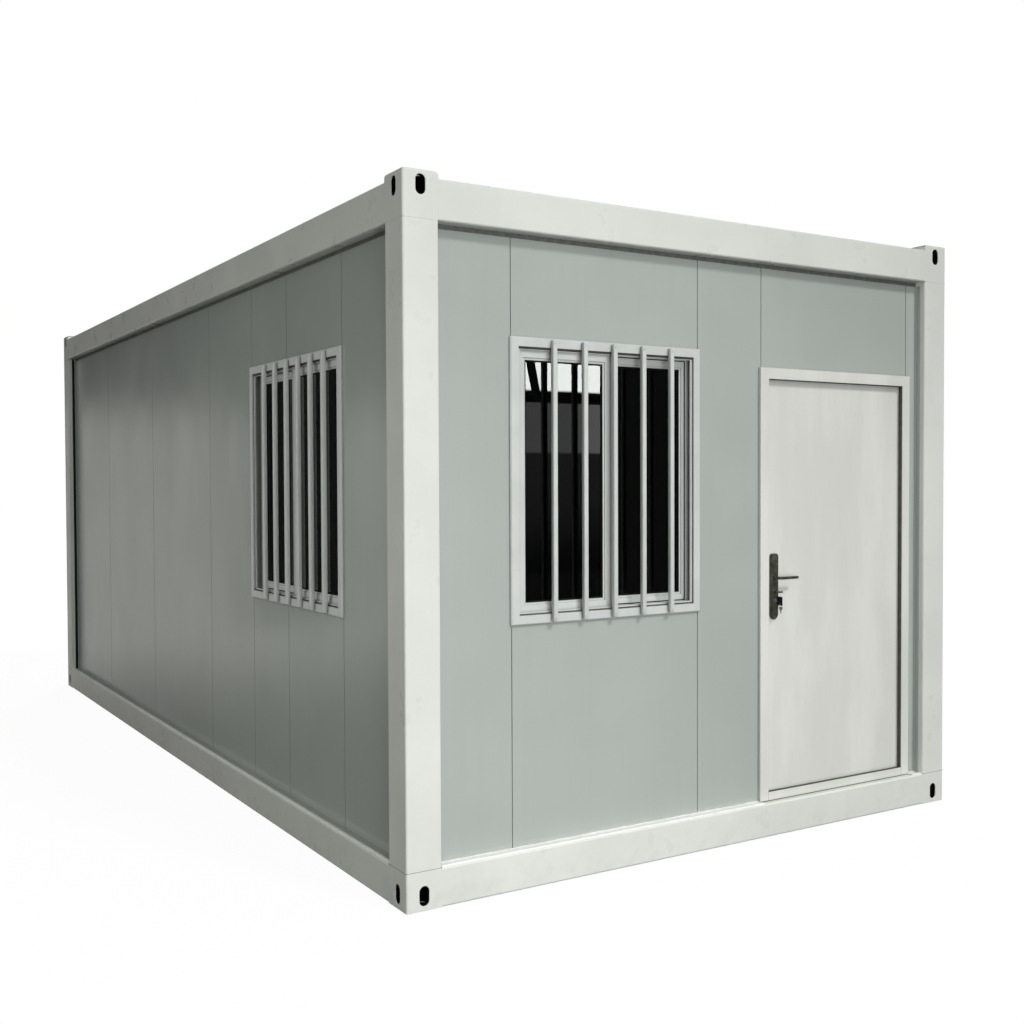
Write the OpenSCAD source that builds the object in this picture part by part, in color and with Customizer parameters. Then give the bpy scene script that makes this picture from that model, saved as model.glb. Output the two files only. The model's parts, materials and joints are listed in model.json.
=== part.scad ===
// Flat-pack modular home: a box frame of folded steel with slotted corner fittings, sandwich
// wall panels, two sliding windows and one entrance door that opens inwards.
// The door wall faces -Y, the long wall with a window faces -X, and the ground is z = 0.

/* [Overall] */
// Width across the door wall
home_w = 3000; // [2900:10:3500]
// Length from the door wall to the rear wall
home_l = 6000; // [5400:10:9000]
// Height from the ground to the top of the roof fittings
home_h = 2760; // [2650:10:3200]

/* [Posts and corner fittings] */
// Width of each face of a corner post and of its fittings
post_w = 150; // [140:1:170]
// Steel thickness of a post
post_t = 4; // [3:0.5:8]
// Outer radius of the folded corners of posts, fittings and beams
fold_r = 8; // [5:0.5:10]
// Plate thickness of a corner fitting
fitting_t = 10; // [6:1:16]
// Rounding along the outer top edges of a roof fitting
fitting_r = 11; // [4:1:14]
// Rounding along the top edges of a roof fitting above the beams
shoulder_r = 18; // [15:1:22]
// Thickness of the upright web that parts the inside of a fitting
web_t = 8; // [5:1:12]
// Clear depth behind the end slots of the fittings
hook_room = 30; // [28:1:40]
// How far the roof fittings stand above the roof beams
fitting_rise = 27; // [15:1:40]
// Width of the oval slots in the fittings
slot_w = 42; // [30:1:50]
// Length of the oval slots in the fittings
slot_l = 76; // [60:1:84]
// Distance from the outer end of a fitting to the middle of its side slots
slot_offset = 56; // [52:1:70]

/* [Beams] */
// Height of the base beams and of the base fittings
base_h = 150; // [140:1:180]
// Height of the roof beams
roof_beam_h = 155; // [145:1:190]
// Steel thickness of the beams
beam_t = 4; // [3:0.5:5]
// Clear width of the gutter folded into the roof beams
gutter_w = 106; // [90:1:115]
// Height of the inner wall of the gutter, which carries the roof sheet
gutter_h = 112; // [100:1:118]
// Width of the lip folded in along the top of the roof beams
gutter_lip = 25; // [10:1:40]

/* [Floor] */
// Number of floor joists
joist_count = 11; // [7:1:14]
// Flange width of a joist
joist_w = 50; // [40:1:70]
// Steel thickness of joists and purlins
joist_t = 3; // [2:0.5:5]
// Thickness of the floor board
floor_t = 18; // [12:1:25]

/* [Roof and ceiling] */
// Thickness of the ceiling board
ceiling_t = 12; // [8:1:20]
// Number of purlins between ceiling and roof sheet
purlin_count = 7; // [5:1:10]
// Flange width of a purlin
purlin_w = 50; // [40:1:70]
// Thickness of the roof sheet
roof_sheet_t = 3; // [2:0.5:4]
// Distance between the ribs of the roof sheet
rib_pitch = 250; // [180:10:400]
// Height of a rib
rib_h = 22; // [15:1:26]
// Width of a rib at its foot
rib_foot_w = 74; // [60:1:100]
// Width of a rib at its top
rib_top_w = 34; // [20:1:50]
// How far the roof sheet reaches over the gutter
eave_lap = 20; // [10:1:40]

/* [Wall panels] */
// Thickness of the wall panels
panel_t = 75; // [70:1:85]
// Depth of the wall face behind the faces of posts and beams
panel_recess = 50; // [45:1:60]
// Cover width of a whole panel on the long walls and the rear wall
panel_w = 1150; // [1000:10:1200]
// Narrowest panel that may end a row
panel_min_w = 150; // [80:10:300]
// Width of the visible seam between two panels
seam_w = 4; // [2:0.5:8]
// Depth of the visible seam
seam_depth = 5; // [3:0.5:12]
// Play between two neighbouring panels behind the seam
panel_gap = 1; // [0.5:0.5:1.5]
// Height of the dark sealing strip between panels and roof beams
seal_h = 20; // [10:1:30]
// How far the sealing strip lies behind the wall face
seal_inset = 6; // [2:1:20]
// Width of the angle on the wall that covers the joint between panels and posts
angle_w = 12; // [8:1:14]
// How far the angle stands out from the wall along the post
angle_d = 22; // [12:1:30]
// Thickness of the angle
angle_t = 3; // [2:0.5:4]
// Width of the flashing strips on the base beams at the foot of the walls
flashing_w = 30; // [15:1:40]
// Thickness of the flashing strips
flashing_t = 2; // [1:0.5:4]

/* [Door wall layout, left to right; the three panels stretch to fill the wall] */
// Width of the panel left of the window, before it is stretched
front_left_w = 343; // [250:1:420]
// Width of the window bay
front_window_w = 950; // [800:1:1020]
// Width of the panel between window and door, before it is stretched
front_middle_w = 371; // [300:1:440]
// Width of the door bay
door_bay_w = 956; // [850:1:1010]
// Width of the panel right of the door, before it is stretched
front_right_w = 80; // [70:1:140]

/* [Long window wall layout] */
// Width of the panel between the front post and the window
side_front_w = 520; // [400:10:600]
// Width of the window bay
side_window_w = 1100; // [900:10:1250]

/* [Windows] */
// Height of the panels under a window, before the wall is fitted to its height
window_rise = 895; // [700:5:1000]
// Height of a window bay, before the wall is fitted
window_h = 1122; // [900:1:1200]
// Height of the panels over a window, before the wall is fitted
over_window_h = 391; // [250:1:500]
// How far the window frame overlaps the wall around its bay
window_lap = 8; // [4:1:15]
// How far the window frame stands out from the wall face
window_proud = 12; // [6:1:20]
// Visible width of the window frame
window_face_w = 38; // [32:1:55]
// Bevel along the outer edges of the window frame
window_bevel = 5; // [1:0.5:5]
// Depth of the step behind the face of the window frame
window_step = 9; // [6:0.5:12]
// Depth from the face of the window frame to its outer track
window_lip_t = 16; // [14:1:24]
// Depth of the two sash tracks cut into the frame
track_depth = 12; // [8:1:16]
// Width of a sash track
track_w = 26; // [25.5:0.5:27]
// Thickness of the rib between the tracks
track_rib_t = 5; // [3:0.5:6]
// How far the lips and the rib beside the tracks stand out past the face
track_rib_out = 12; // [4:1:16]
// Thickness of a sash
sash_t = 24; // [20:0.5:25]
// Width of the upright members of a sash
stile_w = 54; // [40:1:70]
// Width of the level members of a sash
rail_w = 62; // [45:1:80]
// Width of the step around the glass on the outer face of a sash
bead_w = 11; // [6:1:14]
// Depth of that step
bead_step = 4; // [2:0.5:5]
// Length of the finger pull in a sash, on the room side
pull_l = 120; // [80:1:160]
// Width of the finger pull
pull_w = 16; // [10:1:20]
// Depth of the finger pull
pull_d = 9; // [5:0.5:12]
// Free height above a sash in its track
sash_play = 2; // [1:0.5:4]
// Thickness of the glass
glass_t = 5; // [4:0.5:6]
// Depth to which the glass is held in its sash
glass_bite = 8; // [5:1:12]
// Play between the glass and its groove
glass_play = 0.3; // [0.2:0.1:0.5]

/* [Door] */
// Height of the door bay above the base beams, before the wall is fitted to its height
door_bay_h = 1950; // [1850:5:2050]
// Height of the panel over the door, before the wall is fitted
over_door_h = 458; // [300:1:560]
// How far the door frame overlaps the wall around its bay
door_lap = 14; // [6:1:18]
// How far the door frame stands out from the wall face
door_proud = 15; // [8:1:20]
// Visible width of the door frame
door_face_w = 50; // [48:1:65]
// Thickness of the outer lip that the leaf closes behind
door_lip_t = 20; // [15:1:25]
// Width of the lip
door_rebate = 16; // [13:1:18]
// Height of the threshold above the base beams
threshold_h = 40; // [30:1:60]
// Thickness of the door leaf
leaf_t = 45; // [40:1:50]
// Gap between the edges of the leaf and its frame
leaf_gap = 7; // [6:0.5:8]
// Gap between the leaf and the lip
lip_gap = 5; // [5:0.5:8]

/* [Hinges] */
// Length of a hinge
hinge_l = 100; // [80:1:120]
// Radius of a hinge knuckle
knuckle_r = 7; // [6:0.5:8]
// Radius of a hinge pin
hinge_pin_r = 4; // [3:0.5:5]
// Distance from the inner face of the leaf to the hinge axis
hinge_offset = 12; // [12:0.5:16]
// Thickness of the hinge plates and of the straps that carry the knuckles
hinge_t = 3; // [2:0.5:5]
// Width of the hinge plate on the leaf
hinge_plate_w = 36; // [25:1:50]

/* [Handle and lock] */
// Distance from the free edge of the leaf to the lever spindle
backset = 61; // [50:1:75]
// Height of the spindle above the base beams
lever_z = 1013; // [900:1:1050]
// Width of a handle plate
plate_w = 50; // [44:1:60]
// Height of a handle plate
plate_h = 300; // [280:1:330]
// Thickness of a handle plate in its raised field
plate_t = 8; // [5:0.5:10]
// Height of the raised field above the rim of a plate
plate_step = 2.5; // [1:0.5:4]
// Width of the rim around the raised field
plate_rim = 5; // [3:0.5:6]
// Height of the spindle above the lower end of the plate
plate_drop = 190; // [170:1:210]
// Rounding of the upper corners of a plate
plate_r = 14; // [8:1:20]
// Distance of the lock cylinder below the spindle
cylinder_drop = 104; // [85:1:110]
// Radius of the lock cylinder
cylinder_r = 9; // [7:0.5:11]
// How far the lock cylinder stands out from the plates
cylinder_out = 6; // [3:0.5:10]
// Distance of the bolt lever below the spindle
bolt_drop = 66; // [55:1:75]
// Distance from the outer plate to the middle of the bolt lever
bolt_out = 13; // [10:1:18]
// Length of the bolt lever
bolt_l = 38; // [25:1:42]
// Radius of the bar of the bolt lever
bolt_r = 4; // [3:0.5:5]
// Radius of the spindle
spindle_r = 6; // [5:0.5:7]
// Radius of the collar of a lever
hub_r = 10; // [8:0.5:12]
// Height of the collar
collar_h = 8; // [4:0.5:12]
// Distance from a plate to the middle of its lever
lever_out = 38; // [32:1:43]
// Length of a lever from the spindle to its tip
lever_l = 112; // [90:1:130]
// Radius of the bar of a lever
lever_r = 6.5; // [5:0.5:8]
// Radius of the bend in a lever, to the middle of its bar
lever_bend_r = 15; // [12:1:20]

/* [Hidden] */
$fn = 48;

// Overrun of cuts past a face
cut = 5;
// Radial play of pins in their bores
pin_play = 0.05;
// Play around parts that are fixed in a bore and on faces that run past each other
fixed_play = 0.1;
face_play = 0.3;
// Play between the ceiling board and the gutter, and around the notches for the fittings
board_play = 1;

// Turns about Z that bring the door wall's layout to each wall
FRONT = 0;
LEFT = -90;
REAR = 180;
RIGHT = 90;

// Places of the hinges along the leaf
hinge_shares = [0.12, 0.5, 0.88];

// Colours
frame_colour = [0.83, 0.84, 0.82];
wall_colour = [0.66, 0.69, 0.67];
trim_colour = [0.86, 0.87, 0.86];
glass_colour = [0.08, 0.09, 0.10, 0.6];
seal_colour = [0.22, 0.23, 0.22];
bronze_colour = [0.20, 0.19, 0.17];
zinc_colour = [0.62, 0.64, 0.65];
board_colour = [0.55, 0.52, 0.47];

// Frame levels
roof_z = home_h - fitting_rise - roof_beam_h;
roof_fitting_h = home_h - roof_z;
wall_top_z = roof_z - seal_h;
sheet_z = roof_z + gutter_h;
gutter_back = 2 * beam_t + gutter_w;

// Inner half width and half length between the posts
bay_w = home_w / 2 - post_w;
bay_l = home_l / 2 - post_w;

// Seams of the door wall, left to right: window and door keep their widths
front_spare = 2 * bay_w - front_window_w - door_bay_w;
front_stretch = front_spare / (front_left_w + front_middle_w + front_right_w);
front_seam_1 = -bay_w + front_left_w * front_stretch;
front_seam_2 = front_seam_1 + front_window_w;
front_seam_3 = front_seam_2 + front_middle_w * front_stretch;
front_seam_4 = front_seam_3 + door_bay_w;

// Seams of the long window wall, whose +x runs to the front
side_window_x1 = bay_l - side_front_w;
side_window_x0 = side_window_x1 - side_window_w;
side_seam = bay_l - panel_w;

// Window levels, fitted to the wall, and depths behind the frame faces
wall_h = wall_top_z - base_h;
window_fit = wall_h / (window_rise + window_h + over_window_h);
window_z0 = base_h + window_rise * window_fit;
window_z1 = window_z0 + window_h * window_fit;
window_y = panel_recess - window_proud;
track_y = [window_y + window_lip_t, window_y + window_lip_t + track_w + track_rib_t];
window_back_y = track_y[1] + track_w + track_rib_t;
window_clear = window_face_w - window_lap;
rib_clear = window_clear + track_rib_out;
channel_inset = window_clear - track_depth;

// Door levels, fitted to the wall, and depths behind the frame faces
door_z1 = base_h + door_bay_h * wall_h / (door_bay_h + over_door_h);
door_y = panel_recess - door_proud;
rebate_y = door_y + door_lip_t;
leaf_y = rebate_y + lip_gap;
leaf_back_y = leaf_y + leaf_t;
opening_x0 = front_seam_3 - door_lap + door_face_w;
opening_x1 = front_seam_4 + door_lap - door_face_w;
opening_z0 = base_h + threshold_h;
opening_z1 = door_z1 + door_lap - door_face_w;
leaf_inset = door_rebate - leaf_gap;
leaf_x0 = opening_x0 - leaf_inset;
leaf_x1 = opening_x1 + leaf_inset;
leaf_z0 = opening_z0 - leaf_inset;
leaf_z1 = opening_z1 + leaf_inset;

// Hinge axis, spindle and lock
hinge_x = leaf_x1 + leaf_gap / 2;
hinge_y = leaf_back_y + hinge_offset;
knuckle_l = (hinge_l - 2 * face_play) / 3;
spindle_x = leaf_x0 + backset;
spindle_z = base_h + lever_z;
cylinder_z = spindle_z - cylinder_drop;

// Seams of a row of whole panels that starts at a and runs down to b
function row_seams(a, b) =
    concat([for (x = a; x > b + panel_min_w; x = x - panel_w) x], [b]);

// Puts children, laid out for a wall seen from outside with y as depth, on one of the four walls
module on_wall(turn, half) {
    rotate([0, 0, turn])
        translate([0, -half, 0])
            children();
}

// Puts children, made for the front left corner, on all four corners
module at_corners() {
    for (flip_x = [0, 1], flip_y = [0, 1])
        mirror([flip_x, 0, 0])
            mirror([0, flip_y, 0])
                translate([-home_w / 2, -home_l / 2, 0])
                    children();
}

// Runs a section, drawn with depth along x and height along y, along the wall
module run_section(from, to) {
    translate([from, 0, 0])
        rotate([90, 0, 90])
            linear_extrude(to - from)
                children();
}

// A box given by its two corners
module span_box(low, high) {
    translate(low)
        cube(high - low);
}

// A rectangle with round corners of one radius
module round_rect(w, h, r) {
    translate([r, 0])
        square([w - 2 * r, h]);
    translate([0, r])
        square([w, h - 2 * r]);
    for (x = [r, w - r], y = [r, h - r])
        translate([x, y])
            circle(r);
}

// A rectangle with round upper corners: the right one has the same or a larger radius
module crowned_rect(w, h, left_r, right_r) {
    square([w, h - right_r]);
    square([w - right_r, h - left_r]);
    translate([left_r, 0])
        square([w - left_r - right_r, h]);
    translate([left_r, h - left_r])
        circle(left_r);
    translate([w - right_r, h - right_r])
        circle(right_r);
}

// A rectangle with its two corners on the outer, left side folded round
module folded_rect(w, h, r) {
    translate([r, 0])
        square([w - r, h]);
    translate([0, r])
        square([w, h - 2 * r]);
    for (y = [r, h - r])
        translate([r, y])
            circle(r);
}

// A slot with round ends, long way along x, in the middle of its depth
module oval_cut(length, width, depth) {
    reach = (length - width) / 2;
    translate([-reach, -width / 2, -depth / 2])
        cube([2 * reach, width, depth]);
    for (x = [-reach, reach])
        translate([x, 0, 0])
            cylinder(r = width / 2, h = depth, center = true);
}

// Upright slots in the two outer faces of a fitting, at height z
module side_slots(z) {
    translate([post_w / 2, fitting_t / 2, z])
        rotate([90, 90, 0])
            oval_cut(slot_l, slot_w, fitting_t + 2 * cut);
    translate([fitting_t / 2, post_w / 2, z])
        rotate([0, 90, 0])
            oval_cut(slot_l, slot_w, fitting_t + 2 * cut);
}

// Level slot in the end plate of a fitting, at height z, with room for a hook behind it
module end_slot(z) {
    translate([post_w / 2, post_w / 2, z])
        oval_cut(slot_l, slot_w, fitting_t + 2 * hook_room);
}

// Outline of a fitting: only its outer corner is folded round, so that beams run flush into it
module fitting_outline() {
    translate([fold_r, 0])
        square([post_w - fold_r, post_w]);
    translate([0, fold_r])
        square([post_w, post_w - fold_r]);
    translate([fold_r, fold_r])
        circle(fold_r);
}

// Hollow of a fitting of height h, parted by a web that runs in from the outer corner
module fitting_hollow(h) {
    inner = post_w - 2 * fitting_t;
    translate([fitting_t, fitting_t, fitting_t])
        difference() {
            cube([inner, inner, h - 2 * fitting_t]);
            rotate([0, 0, 45])
                translate([-cut, -web_t / 2, -cut])
                    cube([2 * inner, web_t, h]);
        }
}

// Open section of a base beam
module base_section() {
    difference() {
        folded_rect(post_w, base_h, fold_r);
        translate([beam_t, beam_t])
            square([post_w, base_h - 2 * beam_t]);
    }
}

// Section of a roof beam: outer web with a folded lip, a gutter and a ledge for the ceiling
module roof_section() {
    difference() {
        folded_rect(post_w, roof_beam_h, fold_r);
        translate([beam_t, beam_t])
            square([gutter_w, roof_beam_h - 2 * beam_t]);
        translate([gutter_lip, roof_beam_h - beam_t - cut])
            square([post_w, 2 * cut + beam_t]);
        translate([beam_t, gutter_h])
            square([post_w, roof_beam_h - gutter_h - beam_t]);
        translate([gutter_back, beam_t])
            square([post_w, roof_beam_h]);
    }
}

// Channel section of joists and purlins
module channel_section(w, h) {
    difference() {
        square([w, h]);
        translate([joist_t, joist_t])
            square([w, h - 2 * joist_t]);
    }
}

// A row of channels across the width, evenly spread along the length
module channel_row(count, reach, w, h, z) {
    pitch = 2 * bay_l / (count + 1);
    for (i = [1 : count])
        translate([0, -bay_l + i * pitch - w / 2, z])
            run_section(-reach, reach)
                channel_section(w, h);
}

module base_end_beams() {
    color(frame_colour)
        for (turn = [FRONT, REAR])
            on_wall(turn, home_l / 2)
                run_section(-bay_w, bay_w)
                    base_section();
}

module base_side_beams() {
    color(frame_colour)
        for (turn = [LEFT, RIGHT])
            on_wall(turn, home_w / 2)
                run_section(-bay_l, bay_l)
                    base_section();
}

module base_fittings() {
    color(frame_colour)
        at_corners()
            difference() {
                linear_extrude(base_h)
                    fitting_outline();
                fitting_hollow(base_h);
                side_slots(slot_offset);
                end_slot(fitting_t / 2);
            }
}

// A corner post, made for the front left corner
module corner_post(flip_x, flip_y) {
    color(frame_colour)
        mirror([flip_x, 0, 0])
            mirror([0, flip_y, 0])
                translate([-home_w / 2, -home_l / 2, base_h])
                    linear_extrude(roof_z - base_h)
                        difference() {
                            round_rect(post_w, post_w, fold_r);
                            translate([post_t, post_t])
                                square(post_w - 2 * post_t);
                        }
}

module roof_end_beams() {
    color(frame_colour)
        for (turn = [FRONT, REAR])
            on_wall(turn, home_l / 2)
                translate([0, 0, roof_z])
                    run_section(-bay_w, bay_w)
                        roof_section();
}

module roof_side_beams() {
    color(frame_colour)
        for (turn = [LEFT, RIGHT])
            on_wall(turn, home_w / 2)
                translate([0, 0, roof_z])
                    run_section(-bay_l, bay_l)
                        roof_section();
}

module roof_fittings() {
    color(frame_colour)
        at_corners()
            translate([0, 0, roof_z])
                difference() {
                    intersection() {
                        linear_extrude(roof_fitting_h)
                            fitting_outline();
                        run_section(0, post_w)
                            crowned_rect(post_w, roof_fitting_h, fitting_r, shoulder_r);
                        translate([0, post_w, 0])
                            rotate([90, 0, 0])
                                linear_extrude(post_w)
                                    crowned_rect(post_w, roof_fitting_h, fitting_r, shoulder_r);
                    }
                    fitting_hollow(roof_fitting_h);
                    side_slots(roof_fitting_h - slot_offset);
                    end_slot(roof_fitting_h - fitting_t / 2);
                }
}

module floor_joists() {
    color(zinc_colour)
        channel_row(joist_count, home_w / 2 - beam_t, joist_w, base_h - floor_t - beam_t, beam_t);
}

module floor_board() {
    color(board_colour)
        span_box([-bay_w, -bay_l, base_h - floor_t], [bay_w, bay_l, base_h]);
}

// Cuts that clear the four roof fittings
module fitting_notches() {
    at_corners()
        translate([-cut, -cut, roof_z])
            cube([post_w + cut + board_play, post_w + cut + board_play, roof_fitting_h + cut]);
}

module ceiling_board() {
    half_w = home_w / 2 - gutter_back - board_play;
    half_l = home_l / 2 - gutter_back - board_play;
    z = roof_z + beam_t;
    color(trim_colour)
        difference() {
            span_box([-half_w, -half_l, z], [half_w, half_l, z + ceiling_t]);
            fitting_notches();
        }
}

module roof_purlins() {
    z = roof_z + beam_t + ceiling_t;
    color(zinc_colour)
        channel_row(purlin_count, home_w / 2 - gutter_back, purlin_w, sheet_z - z, z);
}

// Ribbed roof sheet, ribs across the width
module roof_sheet() {
    edge = beam_t + gutter_w - eave_lap;
    half_w = home_w / 2 - edge;
    half_l = home_l / 2 - edge;
    count = floor((2 * half_l - rib_foot_w) / rib_pitch);
    first = -count * rib_pitch / 2;
    rib = [[-rib_foot_w, 0], [-rib_top_w, rib_h], [rib_top_w, rib_h], [rib_foot_w, 0]];
    ridge = [
        for (i = [0 : count], p = rib)
            [first + i * rib_pitch + p[0] / 2, p[1]]
    ];
    upper = concat([[-half_l, 0]], ridge, [[half_l, 0]]);
    last = len(upper) - 1;
    color(frame_colour)
        difference() {
            translate([0, 0, sheet_z])
                run_section(-half_w, half_w)
                    polygon(concat(
                        [for (p = upper) [p[0], p[1] + roof_sheet_t]],
                        [for (i = [last : -1 : 0]) upper[i]]
                    ));
            fitting_notches();
        }
}

// A wall panel between two seams and two levels; a seam that butts a post has no groove
module wall_panel(x0, x1, z0, z1, seam_left = true, seam_right = true) {
    groove = (seam_w - panel_gap) / 2;
    left = x0 + (seam_left ? panel_gap / 2 : 0);
    right = x1 - (seam_right ? panel_gap / 2 : 0);
    color(wall_colour)
        difference() {
            span_box([left, panel_recess, z0], [right, panel_recess + panel_t, z1]);
            if (seam_left)
                span_box([left - cut, panel_recess - cut, z0 - cut],
                         [left + groove, panel_recess + seam_depth, z1 + cut]);
            if (seam_right)
                span_box([right - groove, panel_recess - cut, z0 - cut],
                         [right + cut, panel_recess + seam_depth, z1 + cut]);
        }
}

// A row of full height panels between neighbouring seams of a list that runs from right to left
module panel_row(seams, butt_right, butt_left) {
    last = len(seams) - 1;
    for (i = [1 : last])
        wall_panel(seams[i], seams[i - 1], base_h, wall_top_z,
                   !(butt_left && i == last), !(butt_right && i == 1));
}

module front_panel_left() {
    on_wall(FRONT, home_l / 2)
        wall_panel(-bay_w, front_seam_1, base_h, wall_top_z, seam_left = false);
}

module front_panel_under_window() {
    on_wall(FRONT, home_l / 2)
        wall_panel(front_seam_1, front_seam_2, base_h, window_z0);
}

module front_panel_over_window() {
    on_wall(FRONT, home_l / 2)
        wall_panel(front_seam_1, front_seam_2, window_z1, wall_top_z);
}

module front_panel_middle() {
    on_wall(FRONT, home_l / 2)
        wall_panel(front_seam_2, front_seam_3, base_h, wall_top_z);
}

module front_panel_over_door() {
    on_wall(FRONT, home_l / 2)
        wall_panel(front_seam_3, front_seam_4, door_z1, wall_top_z);
}

module front_panel_right() {
    on_wall(FRONT, home_l / 2)
        wall_panel(front_seam_4, bay_w, base_h, wall_top_z, seam_right = false);
}

module left_panel_front() {
    on_wall(LEFT, home_w / 2)
        wall_panel(side_window_x1, bay_l, base_h, wall_top_z, seam_right = false);
}

// Two panels side by side between two levels of the window bay
module side_window_fill(z0, z1) {
    on_wall(LEFT, home_w / 2) {
        wall_panel(side_window_x0, side_seam, z0, z1);
        wall_panel(side_seam, side_window_x1, z0, z1);
    }
}

module left_panels_under_window() {
    side_window_fill(base_h, window_z0);
}

module left_panels_over_window() {
    side_window_fill(window_z1, wall_top_z);
}

module left_panels_rear() {
    on_wall(LEFT, home_w / 2)
        panel_row(concat([side_window_x0], row_seams(side_seam - panel_w, -bay_l)), false, true);
}

module rear_panels() {
    on_wall(REAR, home_l / 2)
        panel_row(row_seams(bay_w, -bay_w), true, true);
}

module right_panels() {
    on_wall(RIGHT, home_w / 2)
        panel_row(row_seams(bay_l, -bay_l), true, true);
}

// One sealing strip along the top of a wall
module head_seal(half) {
    span_box([-half, panel_recess + seal_inset, wall_top_z],
             [half, panel_recess + panel_t - seal_inset, roof_z]);
}

module wall_head_seals() {
    color(seal_colour) {
        for (turn = [FRONT, REAR])
            on_wall(turn, home_l / 2)
                head_seal(bay_w);
        for (turn = [LEFT, RIGHT])
            on_wall(turn, home_w / 2)
                head_seal(bay_l);
    }
}

// An angle at the right end of a wall, in the corner between its last panel and the post
module edge_angle(half) {
    z0 = base_h + flashing_t;
    span_box([half - angle_w, panel_recess - angle_t, z0], [half, panel_recess, wall_top_z]);
    span_box([half - angle_t, panel_recess - angle_d, z0], [half, panel_recess, wall_top_z]);
}

module wall_edge_angles() {
    color(wall_colour)
        for (flip = [0, 1]) {
            for (turn = [FRONT, REAR])
                on_wall(turn, home_l / 2)
                    mirror([flip, 0, 0])
                        edge_angle(bay_w);
            for (turn = [LEFT, RIGHT])
                on_wall(turn, home_w / 2)
                    mirror([flip, 0, 0])
                        edge_angle(bay_l);
        }
}

// A flashing strip on a base beam
module foot_flashing(x0, x1) {
    span_box([x0, panel_recess - flashing_w, base_h], [x1, panel_recess, base_h + flashing_t]);
}

module wall_foot_flashings() {
    color(wall_colour) {
        on_wall(FRONT, home_l / 2) {
            foot_flashing(-bay_w, front_seam_3 - door_lap);
            foot_flashing(front_seam_4 + door_lap, bay_w);
        }
        on_wall(REAR, home_l / 2)
            foot_flashing(-bay_w, bay_w);
        for (turn = [LEFT, RIGHT])
            on_wall(turn, home_w / 2)
                foot_flashing(-bay_l, bay_l);
    }
}

// A slab between two corners, bevelled along the four edges of its outer face
module bevelled_slab(low, high, bevel) {
    intersection() {
        translate([0, 0, low[2]])
            linear_extrude(high[2] - low[2])
                polygon([
                    [low[0], high[1]], [low[0], low[1] + bevel], [low[0] + bevel, low[1]],
                    [high[0] - bevel, low[1]], [high[0], low[1] + bevel], [high[0], high[1]]
                ]);
        run_section(low[0], high[0])
            polygon([
                [high[1], low[2]], [high[1], high[2]], [low[1] + bevel, high[2]],
                [low[1], high[2] - bevel], [low[1], low[2] + bevel], [low[1] + bevel, low[2]]
            ]);
    }
}

// Outer frame of a sliding window in the bay from x0 to x1: a face, a step to the lips, two sash tracks
module window_frame(x0, x1) {
    color(trim_colour)
        difference() {
            union() {
                bevelled_slab([x0 - window_lap, window_y, window_z0 - window_lap],
                              [x1 + window_lap, panel_recess, window_z1 + window_lap], window_bevel);
                span_box([x0, panel_recess, window_z0], [x1, window_back_y, window_z1]);
            }
            span_box([x0 + window_clear, window_y - cut, window_z0 + window_clear],
                     [x1 - window_clear, window_y + window_step, window_z1 - window_clear]);
            span_box([x0 + rib_clear, window_y - cut, window_z0 + rib_clear],
                     [x1 - rib_clear, window_back_y + cut, window_z1 - rib_clear]);
            for (y = track_y)
                span_box([x0 + channel_inset, y, window_z0 + channel_inset],
                         [x1 - channel_inset, y + track_w, window_z1 - channel_inset]);
        }
}

// Width of a sash in a bay of the given width: the two overlap by one stile
function sash_w(w) = (w - 2 * channel_inset + stile_w) / 2;
sash_h = window_z1 - window_z0 - 2 * channel_inset - sash_play;

// Left edge of a sash in the bay from x0 to x1; track 0 is the outer, left one
function sash_x(x0, x1, track) = track == 0 ? x0 + channel_inset : x1 - channel_inset - sash_w(x1 - x0);

// A sash with a groove for its glass, a step around it outside and a finger pull inside
module sash(x0, x1, track) {
    w = sash_w(x1 - x0);
    groove_t = glass_t + 2 * glass_play;
    pull_x = track == 0 ? stile_w / 2 : w - stile_w / 2;
    color(trim_colour)
        translate([sash_x(x0, x1, track), track_y[track] + (track_w - sash_t) / 2, window_z0 + channel_inset])
            difference() {
                cube([w, sash_t, sash_h]);
                span_box([stile_w, -cut, rail_w], [w - stile_w, sash_t + cut, sash_h - rail_w]);
                span_box([stile_w - glass_bite, (sash_t - groove_t) / 2, rail_w - glass_bite],
                         [w - stile_w + glass_bite, (sash_t + groove_t) / 2, sash_h - rail_w + glass_bite]);
                span_box([stile_w - bead_w, -cut, rail_w - bead_w],
                         [w - stile_w + bead_w, bead_step, sash_h - rail_w + bead_w]);
                translate([pull_x, sash_t, sash_h / 2])
                    rotate([90, 90, 0])
                        oval_cut(pull_l, pull_w, 2 * pull_d);
            }
}

// The glass of a sash, standing on the floor of its groove
module sash_glass(x0, x1, track) {
    w = sash_w(x1 - x0);
    edge = glass_bite - glass_play;
    color(glass_colour)
        translate([sash_x(x0, x1, track), track_y[track] + (track_w - glass_t) / 2,
                   window_z0 + channel_inset])
            span_box([stile_w - edge, 0, rail_w - glass_bite],
                     [w - stile_w + edge, glass_t, sash_h - rail_w + edge]);
}

// Turns the sashes of the bay from x0 to x1 end for end, so that the outer one is at the right
module turned_sashes(x0, x1) {
    translate([x0 + x1, 0, 0])
        mirror([1, 0, 0])
            children();
}

module front_window_frame() {
    on_wall(FRONT, home_l / 2)
        window_frame(front_seam_1, front_seam_2);
}

module front_sash_outer() {
    on_wall(FRONT, home_l / 2)
        sash(front_seam_1, front_seam_2, 0);
}

module front_sash_inner() {
    on_wall(FRONT, home_l / 2)
        sash(front_seam_1, front_seam_2, 1);
}

module front_window_glass() {
    on_wall(FRONT, home_l / 2)
        for (track = [0, 1])
            sash_glass(front_seam_1, front_seam_2, track);
}

module left_window_frame() {
    on_wall(LEFT, home_w / 2)
        window_frame(side_window_x0, side_window_x1);
}

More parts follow.
